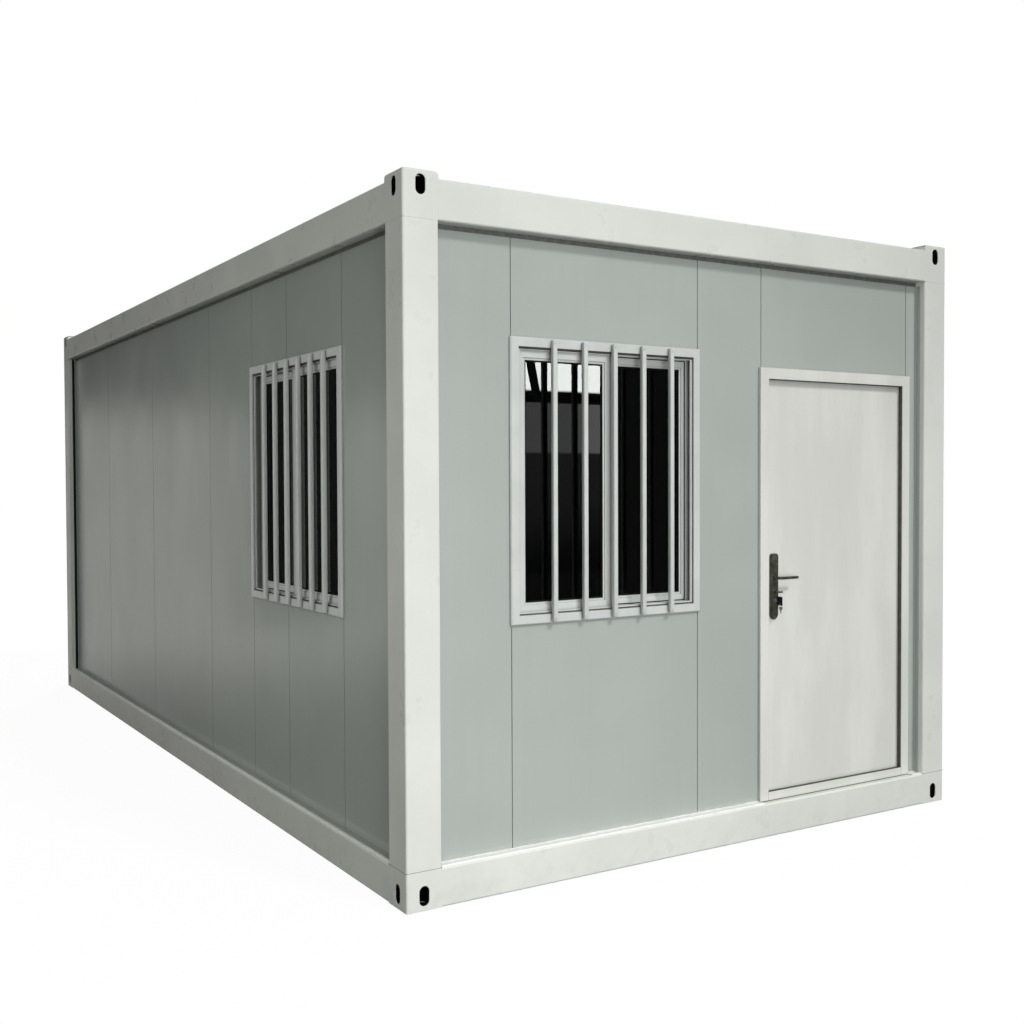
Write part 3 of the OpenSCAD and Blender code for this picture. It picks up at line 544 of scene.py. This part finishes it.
def bronze():
    """Dark bronzed zinc casting, rubbed brighter on its edges."""
    look = Look("bronze", Metallic=0.6)
    cloud = look.remap(look.noise(45, 5), 0.35, 0.7)
    rubbed = look.remap(look.noise(170, 4), 0.55, 0.75, 0, 0.6)
    colour = look.mix(cloud, shade(BRONZE, 0.6), shade(BRONZE, 1.25))
    look.feed("Base Color", look.mix(rubbed, colour, shade(BRONZE, 2.4)))
    look.feed("Roughness", look.remap(cloud, 0, 1, 0.34, 0.52))
    look.feed("Normal", look.bump(look.noise(240, 3), 0.0004, 0.5, look.soft_edges(0.0012)))
    return look.material


def zinc():
    """Galvanised steel with a soft spangle."""
    look = Look("zinc", Metallic=0.7)
    cells = look.add("ShaderNodeTexVoronoi")
    cells.inputs["Scale"].default_value = 60
    look.link(look.place, cells.inputs["Vector"])
    spangle = look.remap(cells.outputs["Color"], 0, 1)
    look.feed("Base Color", look.mix(spangle, shade(ZINC, 0.72), shade(ZINC, 1.08)))
    look.feed("Roughness", look.remap(spangle, 0, 1, 0.34, 0.55))
    look.feed("Normal", look.bump(look.noise(180, 3), 0.0002, 0.4, look.soft_edges(0.001)))
    return look.material


def floor_board():
    """Grey flecked sheet flooring."""
    look = Look("floor_board")
    flecks = look.remap(look.noise(260, 4), 0.45, 0.65)
    clouds = look.remap(look.noise(2, 4), 0.3, 0.7)
    colour = look.mix(flecks, shade(FLOOR_GREY, 0.82), shade(FLOOR_GREY, 1.12))
    look.feed("Base Color", look.mix(clouds, colour, shade(FLOOR_GREY, 0.95)))
    look.feed("Roughness", look.remap(clouds, 0, 1, 0.42, 0.6))
    look.feed("Normal", look.bump(flecks, 0.0002, 0.4))
    return look.material


def ceiling():
    """Matt white coated ceiling board."""
    look = Look("ceiling", Specular_IOR_Level=0.35)
    clouds = look.remap(look.noise(3, 4), 0.3, 0.7)
    look.feed("Base Color", look.mix(clouds, shade(CEILING_WHITE, 0.94), shade(CEILING_WHITE, 1.02)))
    look.feed("Roughness", look.remap(clouds, 0, 1, 0.55, 0.7))
    look.feed("Normal", look.bump(look.noise(350, 3), 0.0003, 0.4))
    return look.material


def sealant():
    """Tooled white silicone."""
    look = Look("sealant", Specular_IOR_Level=0.4)
    smears = look.remap(look.noise(40, 4), 0.35, 0.7)
    look.feed("Base Color", look.mix(smears, shade(SEALANT_WHITE, 0.9), linear(SEALANT_WHITE)))
    look.feed("Roughness", look.remap(smears, 0, 1, 0.35, 0.55))
    look.feed("Normal", look.bump(look.noise(160, 3), 0.0004, 0.3))
    return look.material


LOOKS = {
    "frame_paint": frame_paint(),
    "wall_skin": wall_skin(),
    "window_trim": window_trim(),
    "glass": glass(),
    "door_paint": door_paint(),
    "seal": rubber("seal", SEAL_GREY),
    "bronze": bronze(),
    "zinc": zinc(),
    "floor": floor_board(),
    "ceiling": ceiling(),
}
RUBBER = rubber("rubber", RUBBER_BLACK)
# Grey rubber, also painted shade on the window lips and around the door
RUBBER_AND_SHADE = rubber("rubber_and_shade", RUBBER_AND_SHADE_GREY)
SEALANT = sealant()

# Every node of the construction takes the look of its material slot in the record
for part in frame["record"]["subparts"]:
    node = frame["nodes"][part["node"]]
    node.data.materials.clear()
    node.data.materials.append(LOOKS[part["material_slot"]])


def wall_box(wall, node):
    """Lowest and highest corner of a node in a wall's own coordinates."""
    inverse = wall.inverted()
    corners = [inverse @ Vector(c) for c in itertools.product(*zip(*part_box(node)))]
    return Vector(map(min, zip(*corners))), Vector(map(max, zip(*corners)))


def add_block(bm, low, high, rounding=BLOCK_ROUND, segments=2):
    """A box between two corners with rounded edges."""
    low, high = Vector(low), Vector(high)
    size = high - low
    place = Matrix.Translation((low + high) / 2) @ Matrix.Diagonal((*size, 1))
    made = bmesh.ops.create_cube(bm, size=1, matrix=place)["verts"]
    edges = {e for v in made for e in v.link_edges}
    bmesh.ops.bevel(bm, geom=list(edges), offset=rounding, segments=segments, profile=0.5, affect="EDGES")


def add_box(bm, place, corners, rounding=BLOCK_ROUND, segments=2):
    """A box with rounded edges whose two corners are given from a place."""
    low, high = (Vector(place) + Vector(c) for c in corners)
    add_block(bm, low, high, rounding, segments)


def circle(steps):
    """Directions of equal steps around a circle, as cosine and sine."""
    turns = [2 * math.pi * i / steps for i in range(steps)]
    return [(math.cos(t), math.sin(t)) for t in turns]


def bridge(bm, rings):
    """Faces between neighbouring rings, which have equally many vertices."""
    for a, b in itertools.pairwise(rings):
        for i in range(len(a)):
            j = (i + 1) % len(a)
            bm.faces.new((a[i], b[i], b[j], a[j]))


def cap_ends(bm, rings):
    bm.faces.new(rings[0])
    bm.faces.new(reversed(rings[-1]))


def add_lathe(bm, place, profile, steps=ROUND_STEPS):
    """A turned solid: (radius, height) pairs from the foot up, spun about the z axis of a matrix."""
    rings = []
    for radius, height in profile:
        points = [Vector((radius * cos, radius * sin, height)) for cos, sin in circle(steps)]
        rings.append([bm.verts.new(place @ point) for point in points])
    bridge(bm, rings)
    cap_ends(bm, rings)


def add_torus(bm, place, radius, wire):
    """A ring of round wire in the xy plane of a matrix."""
    rings = []
    for cos, sin in circle(ROUND_STEPS):
        section = [(radius + wire * out, wire * up) for out, up in circle(WIRE_SIDES)]
        rings.append([bm.verts.new(place @ Vector((out * cos, out * sin, up))) for out, up in section])
    bridge(bm, rings + rings[:1])


def add_ring(bm, low, high, section):
    """A mitred ring around a rectangle of a wall: the section holds (outward, depth) pairs."""
    middle, half = (low + high) / 2, (high - low) / 2
    corners = []
    for side_x, side_z in ((-1, -1), (1, -1), (1, 1), (-1, 1)):
        corners.append([
            bm.verts.new((middle.x + side_x * (half.x + out), depth, middle.z + side_z * (half.z + out)))
            for out, depth in section
        ])
    bridge(bm, corners + corners[:1])


def add_run(bm, start, end, section):
    """A run along a wall from start to end; the section gives fresh (outward, up) pairs at each step."""
    start, end = Vector(start), Vector(end)
    count = max(2, round((end - start).length / SEALANT_STEP))
    rows = []
    for i in range(count + 1):
        place = start.lerp(end, i / count)
        rows.append([bm.verts.new(place + Vector((0, -out, up))) for out, up in section()])
    bridge(bm, rows)
    cap_ends(bm, rows)


def film_and_painted_light_section():
    """Sealant spread thin over the flashing and up the wall; its white is partly painted light on the dim
    flashing.
    """
    up = FILM_UP * random_place.uniform(*FILM_UP_SHARES)
    return (0, 0), (FILM_OUT, -FLASHING_T), (FILM_OUT, FILM_T), (FILM_COVE, FILM_T), (0, up)


def bead_section():
    """A low round bead that laps the outer edge of the flashing."""
    half = BEAD_HALF_W * random_place.uniform(*BEAD_SHARES)
    rise = BEAD_RISE * random_place.uniform(*BEAD_SHARES)
    turns = [math.pi * k / (BEAD_SIDES - 1) for k in range(BEAD_SIDES)]
    return [(BEAD_OUT - half * math.cos(t), rise * math.sin(t) - FLASHING_T) for t in turns]


def facing(place, towards):
    """A matrix at a place of a wall whose z axis points along a direction."""
    return Matrix.Translation(place) @ Vector(towards).to_track_quat("Z", "Y").to_matrix().to_4x4()


def add_screw(bm, place, radius):
    """A plain pan head, sunk a little into what it holds."""
    head = [(out * radius, up * radius) for out, up in SCREW_HEAD_SHARES]
    add_lathe(bm, place, [(radius, -SUNK), *head], SCREW_STEPS)


def make_piece(name, bm, look, body, wall=None):
    """An object from a bmesh, riding on a body, with a slot's finish."""
    if wall is not None:
        bm.transform(wall)
    bmesh.ops.recalc_face_normals(bm, faces=bm.faces)
    mesh = bpy.data.meshes.new(name)
    bm.to_mesh(mesh)
    bm.free()
    mesh.materials.append(look)
    mesh.shade_smooth()
    mesh.set_sharp_from_angle(angle=SHARP_ANGLE)
    piece = bpy.data.objects.new(name, mesh)
    bpy.context.scene.collection.objects.link(piece)
    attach(piece, body)


def window_bars(side, wall, bars):
    """Upright square tubes on the outer face of a window frame, each screwed on at both ends."""
    count, pitch, shift = bars
    low, high = wall_box(wall, f"{side}_window_frame")
    first = (low.x + high.x) / 2 + shift - (count - 1) / 2 * pitch
    tubes, screws = bmesh.new(), bmesh.new()
    for i in range(count):
        x = first + i * pitch
        add_block(tubes, (x - BAR_SIZE / 2, low.y - BAR_SIZE, low.z + BAR_END_GAP),
                  (x + BAR_SIZE / 2, low.y, high.z - BAR_END_GAP), BAR_ROUND, 3)
        for z in (low.z + BAR_SCREW_INSET, high.z - BAR_SCREW_INSET):
            add_screw(screws, facing((x, low.y - BAR_SIZE, z), OUTWARD), BAR_SCREW_R)
    make_piece(f"{side}_window_bars", tubes, LOOKS["window_trim"], "house", wall)
    make_piece(f"{side}_bar_screws", screws, LOOKS["window_trim"], "house", wall)


def window_rubber(side, wall):
    """Rubber around each pane, inside and outside."""
    bm = bmesh.new()
    for track in ("outer", "inner"):
        low, high = wall_box(wall, f"{side}_sash_{track}")
        inset = Vector((STILE_W, 0, RAIL_W))
        low_pane, high_pane = low + inset, high - inset
        middle = (low.y + high.y) / 2
        for side_y, face in ((-1, low.y + SASH_STEP), (1, high.y)):
            near, far = face + side_y * GASKET_PROUD, middle + side_y * GLASS_HALF_T
            root = (GASKET_LAP, near), (GASKET_LAP, far)
            tip = (-GASKET_W, far), (-GASKET_W * GASKET_TIP_SHARE, near)
            add_ring(bm, low_pane, high_pane, root + tip)
    make_piece(f"{side}_window_rubber", bm, RUBBER, "house", wall)


def window_seals(side, wall):
    """Grey strips on the lip behind the face of the frame, which are painted shade, and brush pile before
    the inner sash, whose dark strips also paint the shade line between frame and sash.
    """
    low, high = wall_box(wall, f"{side}_window_frame")
    y1 = low.y + LIP_DEPTH + STRIP_SUNK
    x0, x1, z0, z1 = low.x + FACE_W, high.x - FACE_W, low.z + FACE_W, high.z - FACE_W
    strips = (((x0, z0), (x1, z0 + LIP_STRIP_FOOT)), ((x0, z1 - LIP_STRIP_HEAD), (x1, z1)),
              ((x0, z0), (x0 + LIP_STRIP_SIDE, z1)), ((x1 - LIP_STRIP_SIDE, z0), (x1, z1)))
    # Painted shade: grey strips on the lip show the shade under the frame's face.
    grey = bmesh.new()
    for (left, foot), (right, head) in strips:
        add_block(grey, (left, y1 - LIP_STRIP_T, foot), (right, y1, head), THIN_ROUND, 1)
    make_piece(f"{side}_lip_shade_strips", grey, RUBBER_AND_SHADE, "house", wall)
    sash_low, sash_high = wall_box(wall, f"{side}_sash_inner")
    y0, y1 = sash_low.y - BRUSH_T, sash_low.y + STRIP_SUNK
    x0, x1 = max(sash_low.x, low.x + LIP_INSET), min(sash_high.x, high.x - LIP_INSET)
    z0, z1 = low.z + LIP_INSET, high.z - LIP_INSET
    # Brush pile, partly real and partly painted shade between frame and sash.
    pile = bmesh.new()
    for z in (z0, z1):
        add_block(pile, (x0, y0, z - BRUSH_HALF_W), (x1, y1, z + BRUSH_HALF_W), THIN_ROUND, 1)
    x = x0 if sash_low.x < low.x + LIP_INSET else x1
    add_block(pile, (x - BRUSH_HALF_W, y0, z0), (x + BRUSH_HALF_W, y1, z1), THIN_ROUND, 1)
    make_piece(f"{side}_brush_pile_and_shade", pile, RUBBER, "house", wall)


def sash_latch(side, wall):
    """A crescent latch on the room side of the meeting stile."""
    low, high = wall_box(wall, f"{side}_sash_inner")
    frame_low, frame_high = wall_box(wall, f"{side}_window_frame")
    meets_left = low.x + high.x > frame_low.x + frame_high.x
    x = low.x + STILE_W / 2 if meets_left else high.x - STILE_W / 2
    place = Vector((x, high.y, (low.z + high.z) / 2))
    bm = bmesh.new()
    add_box(bm, place, LATCH_BASE, LATCH_ROUND)
    add_lathe(bm, facing(place + Vector((0, LATCH_T, 0)), INWARD), BOSS_PROFILE)
    add_box(bm, place, LATCH_ARM, LATCH_ROUND)
    make_piece(f"{side}_sash_latch", bm, LOOKS["zinc"], "house", wall)


for side, wall, bars in (("front", FRONT, FRONT_BARS), ("left", LEFT, LEFT_BARS)):
    window_bars(side, wall, bars)
    window_rubber(side, wall)
    window_seals(side, wall)
    sash_latch(side, wall)


def foot_sealant():
    """A bead along the outer edge of the flashing on the base beams; on the door wall sealant is spread
    over the flashing too, its white partly painted light that lifts the dim flashing."""
    door_low, door_high = wall_box(FRONT, "door_frame")
    z = BASE_TOP + FLASHING_T
    end_x, end_y = HALF_W - WALL_END, HALF_L - WALL_END
    runs = [
        ("front", FRONT, ((-end_x, door_low.x), (door_high.x, end_x)), (film_and_painted_light_section, bead_section)),
        ("left", LEFT, ((-end_y, end_y),), (bead_section,)),
        ("rear", REAR, ((-end_x, end_x),), (bead_section,)),
        ("right", RIGHT, ((-end_y, end_y),), (bead_section,)),
    ]
    for side, wall, spans, sections in runs:
        bm = bmesh.new()
        for (x0, x1), section in itertools.product(spans, sections):
            add_run(bm, (x0, WALL_DEPTH, z), (x1, WALL_DEPTH, z), section)
        make_piece(f"{side}_foot_sealant", bm, SEALANT, "house", wall)


def post_joints():
    """Thin dark joints where the posts stand on the base fittings and carry the roof fittings."""
    bm = bmesh.new()
    for name in ("front_left", "front_right", "rear_left", "rear_right"):
        low, high = (Vector(c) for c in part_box(f"post_{name}"))
        for z, thick in ((BASE_TOP, JOINT_FOOT_T), (ROOF_Z, JOINT_HEAD_T)):
            proud = Vector((JOINT_PROUD, JOINT_PROUD, 0))
            foot, head = Vector((low.x, low.y, z - thick / 2)), Vector((high.x, high.y, z + thick / 2))
            add_block(bm, foot - proud, head + proud, THIN_ROUND, 1)
    make_piece("post_joints", bm, RUBBER, "house")


def door_rubber_and_shade():
    """Grey rubber on the rebate of the door frame that the leaf closes against, thin at the foot, which
    also paints the shade of the gap around the leaf; a line of it under the threshold, which is painted
    shade; and joints at the threshold's ends."""
    low, high = wall_box(FRONT, "door_leaf")
    y0, y1 = DOOR_RUBBER_Y
    x0, x1, z0, z1 = low.x + DOOR_LAP, high.x - DOOR_LAP, low.z + DOOR_LAP, high.z - DOOR_LAP
    sides = (
        (x0 - SUNK, x0 + RUBBER_LOCK_SIDE, z0, z1),
        (x1 - RUBBER_HINGE_SIDE, x1 + SUNK, z0, z1),
        (x0, x1, z1 - RUBBER_HEAD, z1 + SUNK),
        (x0, x1, z0 - SUNK, z0 + RUBBER_FOOT),
    )
    bm = bmesh.new()
    for left, right, foot, head in sides:
        add_block(bm, (left, y0, foot), (right, y1, head))
    frame_low, frame_high = wall_box(FRONT, "door_frame")
    # Painted shade: a grey line along the foot of the threshold.
    face, sill = frame_low.y, BASE_TOP + SILL_LINE_H
    add_block(bm, (frame_low.x, face - SILL_LINE_PROUD, BASE_TOP),
              (frame_high.x, face + SILL_LINE_SUNK, sill))
    for x in (x0, x1):
        add_block(bm, (x - SILL_JOINT_HALF, face - SILL_JOINT_PROUD, sill),
                  (x + SILL_JOINT_HALF, face + SUNK, z0), SILL_JOINT_ROUND, 1)
    make_piece("door_rubber_and_shade", bm, RUBBER_AND_SHADE, "house", FRONT)


def corner_dark_strips():
    """Black strips in the corners between the long walls and the posts."""
    y0, y1 = CORNER_STRIP_Y
    for side, wall in (("left", LEFT), ("right", RIGHT)):
        bm = bmesh.new()
        for end in (-1, 1):
            x = end * (HALF_L - WALL_END)
            add_block(bm, (x - CORNER_STRIP_HALF, y0, BASE_TOP + FLASHING_T),
                      (x + CORNER_STRIP_HALF, y1, ROOF_Z - CORNER_STRIP_GAP))
        make_piece(f"{side}_corner_dark_strips", bm, RUBBER, "house", wall)


def plate_screws():
    """Two screws in each handle plate."""
    _, high = wall_box(FRONT, "handle_plates")
    bm = bmesh.new()
    for z in (SPINDLE_Z + PLATE_SCREW_ABOVE, CYLINDER_Z - PLATE_SCREW_BELOW):
        add_screw(bm, facing((LOCK_X, PLATE_FACE, z), OUTWARD), PLATE_SCREW_R)
        add_screw(bm, facing((LOCK_X, high.y, z), INWARD), PLATE_SCREW_R)
    make_piece("plate_screws", bm, LOOKS["bronze"], "door", FRONT)


def keys():
    """A key with a black bow in the lock, and a small steel one that hangs from it on a ring."""
    steel, plastic = bmesh.new(), bmesh.new()
    place = Vector((LOCK_X, CYLINDER_FACE, CYLINDER_Z))
    add_box(steel, place, KEY_BLADE, KEY_BLADE_ROUND)
    add_box(plastic, place, KEY_BOW, KEY_BOW_ROUND, 3)
    ring = place + Vector(RING_PLACE)
    add_torus(steel, facing(ring, RING_FACES), RING_R, RING_WIRE_R)
    add_lathe(steel, facing(ring + Vector(SMALL_BOW_PLACE), SMALL_BOW_FACES), SMALL_BOW_PROFILE)
    add_box(steel, ring, SMALL_BLADE)
    make_piece("key_blades", steel, LOOKS["zinc"], "door", FRONT)
    make_piece("key_bows", plastic, RUBBER, "door", FRONT)


def lock_plates():
    """Forend and latch on the free edge of the leaf, and the strike plate on the frame."""
    low, high = wall_box(FRONT, "door_leaf")
    edge = Vector((low.x, (low.y + high.y) / 2, SPINDLE_Z))
    bm = bmesh.new()
    add_box(bm, edge, FOREND)
    add_box(bm, edge, LATCH_BOLT, LATCH_BOLT_ROUND)
    make_piece("lock_forend", bm, LOOKS["zinc"], "door", FRONT)
    jamb = edge - Vector((JAMB_GAP, 0, 0))
    bm = bmesh.new()
    add_box(bm, jamb, STRIKE)
    for rise in STRIKE_SCREW_RISES:
        add_screw(bm, facing(jamb + Vector((STRIKE_PROUD, 0, rise)), TO_THE_RIGHT), STRIKE_SCREW_R)
    make_piece("strike_plate", bm, LOOKS["zinc"], "house", FRONT)


def hinge_screws():
    """Three screws in each hinge plate on the leaf."""
    plate_low, _ = wall_box(FRONT, "leaf_hinges")
    low, high = wall_box(FRONT, "door_leaf")
    bm = bmesh.new()
    for share, (inset, rise) in itertools.product(HINGE_SHARES, HINGE_SCREWS):
        z = low.z + share * (high.z - low.z) + rise
        add_screw(bm, facing((plate_low.x + inset, high.y + HINGE_T, z), INWARD), HINGE_SCREW_R)
    make_piece("hinge_screws", bm, LOOKS["zinc"], "door", FRONT)


def roof_screws():
    """Sealed screws on the ribs of the roof sheet, in rows along the home."""
    _, high = (Vector(c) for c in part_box("roof_sheet"))
    bm = bmesh.new()
    for i, share in itertools.product(range(-RIBS_EACH_WAY, RIBS_EACH_WAY + 1), ROOF_SCREW_SHARES):
        place = Matrix.Translation((share * high.x, i * RIB_PITCH, high.z))
        add_lathe(bm, place, ROOF_SCREW_PROFILE, ROOF_SCREW_STEPS)
    make_piece("roof_screws", bm, LOOKS["zinc"], "house")


def gutter_strainers():
    """Domed strainers over the outlets at the ends of the side gutters."""
    x, y, z = HALF_W - STRAINER_INSET_X, HALF_L - STRAINER_INSET_Y, ROOF_Z + STRAINER_RISE
    bm = bmesh.new()
    for side_x, side_y in itertools.product((-1, 1), repeat=2):
        add_lathe(bm, Matrix.Translation((side_x * x, side_y * y, z)), STRAINER_PROFILE)
    make_piece("gutter_strainers", bm, RUBBER, "house")


foot_sealant()
post_joints()
door_rubber_and_shade()
corner_dark_strips()
plate_screws()
keys()
lock_plates()
hinge_screws()
roof_screws()
gutter_strainers()


def add_camera():
    """The photograph's camera."""
    cos_p, sin_p = math.cos(CAMERA_PITCH), math.sin(CAMERA_PITCH)
    ahead = Vector((math.sin(CAMERA_YAW) * cos_p, math.cos(CAMERA_YAW) * cos_p, -sin_p))
    level = Vector((math.cos(CAMERA_YAW), -math.sin(CAMERA_YAW), 0))
    above = level.cross(ahead)
    cos_r, sin_r = math.cos(CAMERA_ROLL), math.sin(CAMERA_ROLL)
    right, up = level * cos_r + above * sin_r, above * cos_r - level * sin_r
    camera = bpy.data.objects.new("camera", bpy.data.cameras.new("camera"))
    camera.data.lens = CAMERA_LENS
    camera.data.sensor_width = CAMERA_SENSOR
    turn = Matrix((right, up, -ahead)).transposed().to_4x4()
    camera.matrix_world = Matrix.Translation(CAMERA_PLACE) @ turn
    bpy.context.scene.collection.objects.link(camera)
    bpy.context.scene.camera = camera


def ray_kinds(nodes):
    """Whether a ray sees the stage as it is shown, and whether it comes from gloss."""
    path = nodes.add("ShaderNodeLightPath").outputs
    return nodes.maths("MAXIMUM", path["Is Camera Ray"], path["Is Transmission Ray"]), path["Is Glossy Ray"]


def add_world():
    """White to the eye, a dim sky for diffuse light, and a bright horizon behind the home for gloss."""
    world = bpy.data.worlds.new("studio")
    world.use_nodes = True
    nodes = Nodes(world.node_tree)
    shown, gloss = ray_kinds(nodes)
    x, y, z = nodes.axes(nodes.add("ShaderNodeTexCoord").outputs["Generated"])
    strip = nodes.maths("MULTIPLY", nodes.remap(z, *STRIP_RISE, 1.0, 0.0), nodes.remap(y, *STRIP_Y))
    fade_low, fade_high, faint = MIRROR_FADE
    sideways = nodes.remap(nodes.maths("ABSOLUTE", x), fade_low, fade_high, faint, 1.0)
    mirrored = nodes.mix_value(nodes.maths("MULTIPLY", strip, sideways), MIRROR_DARK, MIRROR_BRIGHT)
    lit = nodes.mix_value(gloss, SKY_STRENGTH, mirrored)
    background = world.node_tree.nodes["Background"]
    nodes.link(nodes.mix(gloss, (1, 1, 1, 1), MIRROR_COLOUR), background.inputs["Color"])
    nodes.link(nodes.mix_value(shown, lit, 1.0), background.inputs["Strength"])
    bpy.context.scene.world = world


def stage_plane(name, corners):
    """A plane of the stage with an empty node material."""
    mesh = bpy.data.meshes.new(name)
    mesh.from_pydata(corners, [], [range(len(corners))])
    plane = bpy.data.objects.new(name, mesh)
    bpy.context.scene.collection.objects.link(plane)
    material = bpy.data.materials.new(name)
    material.use_nodes = True
    material.node_tree.nodes.remove(material.node_tree.nodes["Principled BSDF"])
    mesh.materials.append(material)
    return plane, Nodes(material.node_tree)


def show(nodes, surface):
    nodes.link(surface, nodes.tree.nodes["Material Output"].inputs["Surface"])


def upright(xs, y, zs):
    """Corners of an upright rectangle that faces the door wall or the rear."""
    (x0, x1), (z0, z1) = xs, zs
    return [(x0, y, z0), (x1, y, z0), (x1, y, z1), (x0, y, z1)]


def show_to_gloss_only(plane):
    for rays in ("camera", "diffuse", "transmission", "volume_scatter", "shadow"):
        setattr(plane, f"visible_{rays}", False)


def add_floor():
    """Pale floor that keeps a faint shadow, returns little light, is painted dark under the home as shade,
    and is bright in gloss far behind.
    """
    h = FLOOR_SIZE / 2
    _, nodes = stage_plane("floor", [(-h, -h, 0), (h, -h, 0), (h, h, 0), (-h, h, 0)])
    shown, gloss = ray_kinds(nodes)
    lit, dim = nodes.add("ShaderNodeBsdfDiffuse"), nodes.add("ShaderNodeBsdfDiffuse")
    lit.inputs["Color"].default_value = (1, 1, 1, 1)
    dim.inputs["Color"].default_value = (FLOOR_BOUNCE, FLOOR_BOUNCE, FLOOR_BOUNCE, 1)
    glow, far = nodes.add("ShaderNodeEmission"), nodes.add("ShaderNodeEmission")
    far.inputs["Color"].default_value = MIRROR_COLOUR
    x, y, _ = nodes.axes(nodes.add("ShaderNodeNewGeometry").outputs["Position"])
    nodes.link(nodes.remap(y, *GROUND_BRIGHT_Y, MIRROR_DARK, GROUND_BRIGHT), far.inputs["Strength"])
    # Painted shade: under the home the floor doesn't glow, so it shows dark through gaps and slots.
    shade_beneath = nodes.maths("MULTIPLY", nodes.within(x, 0, HALF_W - BENEATH_INSET),
                          nodes.within(y, 0, HALF_L - BENEATH_INSET))
    nodes.link(nodes.mix_value(shade_beneath, 1.0, 0.0), glow.inputs["Strength"])
    pale = nodes.mix_shader(FLOOR_SHADOW_SHARE, glow.outputs[0], lit.outputs[0])
    unseen = nodes.mix_shader(gloss, dim.outputs[0], far.outputs[0])
    show(nodes, nodes.mix_shader(shown, unseen, pale))


def add_flag():
    """Dark flag that only gloss sees: what the panes of the long wall reflect."""
    flag, nodes = stage_plane("flag", upright(FLAG_X, FLAG_Y, FLAG_Z))
    show_to_gloss_only(flag)
    glow = nodes.add("ShaderNodeEmission")
    glow.inputs["Strength"].default_value = FLAG_DARK
    show(nodes, glow.outputs[0])


def add_card():
    """What the panes of the door wall mirror; only sharp reflections see it."""
    card, nodes = stage_plane("card", upright(CARD_X, CARD_Y, CARD_Z))
    show_to_gloss_only(card)
    x, _, z = nodes.axes(nodes.add("ShaderNodeNewGeometry").outputs["Position"])
    post_x = nodes.maths("MULTIPLY_ADD", z, CARD_POST_LEAN, CARD_POST_GROUND_X)
    post = nodes.within(x, post_x, CARD_POST_HALF)
    sky = nodes.remap(z, *CARD_SKY_Z, 0.0, CARD_SKY)
    sky = nodes.maths("MULTIPLY", sky, nodes.maths("SUBTRACT", 1.0, post))
    foot = nodes.remap(z, *CARD_FOOT_Z, 0.0, CARD_FOOT)
    wall = nodes.remap(z, *CARD_WALL_Z, foot, nodes.remap(x, *CARD_WALL_X, *CARD_WALL))
    below = nodes.maths("MULTIPLY", wall, nodes.maths("LESS_THAN", z, CARD_EAVE_Z))
    glow = nodes.add("ShaderNodeEmission")
    glow.inputs["Color"].default_value = CARD_COLOUR
    nodes.link(nodes.maths("ADD", below, sky), glow.inputs["Strength"])
    clear = nodes.add("ShaderNodeBsdfTransparent")
    sharp = nodes.add("ShaderNodeLightPath").outputs["Is Singular Ray"]
    show(nodes, nodes.mix_shader(sharp, clear.outputs[0], glow.outputs[0]))


def add_light(name, kind, towards, place=(0, 0, 0), **settings):
    """A light whose rays run against a direction; gloss and the camera don't see it."""
    light = bpy.data.objects.new(name, bpy.data.lights.new(name, kind))
    for setting, value in settings.items():
        setattr(light.data, setting, value)
    light.location = place
    light.rotation_mode = "QUATERNION"
    light.rotation_quaternion = Vector(towards).to_track_quat("Z", "Y")
    light.visible_camera = False
    light.visible_glossy = False
    bpy.context.scene.collection.objects.link(light)


def add_lights():
    """Soft suns from the upper right of the door wall and from behind, and soft boxes before the door wall
    and beside the long wall."""
    level = math.cos(SUN_HEIGHT)
    towards = (math.sin(SUN_TURN) * level, -math.cos(SUN_TURN) * level, math.sin(SUN_HEIGHT))
    add_light("key", "SUN", towards, energy=SUN_STRENGTH, angle=SUN_ANGLE)
    add_light("back", "SUN", BACK_TOWARDS, energy=BACK_STRENGTH, angle=SUN_ANGLE)
    for name, place, aim, (width, height), power, colour in (
        ("soft_box", BOX_PLACE, BOX_AIM, BOX_SIZE, BOX_POWER, (1, 1, 1)),
        ("fill", FILL_PLACE, FILL_AIM, FILL_SIZE, FILL_POWER, FILL_COLOUR),
    ):
        add_light(name, "AREA", Vector(place) - Vector(aim), place, energy=power, color=colour,
                  shape="RECTANGLE", size=width, size_y=height)


add_camera()
add_world()
add_floor()
add_flag()
add_card()
add_lights()
bpy.context.scene.view_settings.view_transform = "Standard"
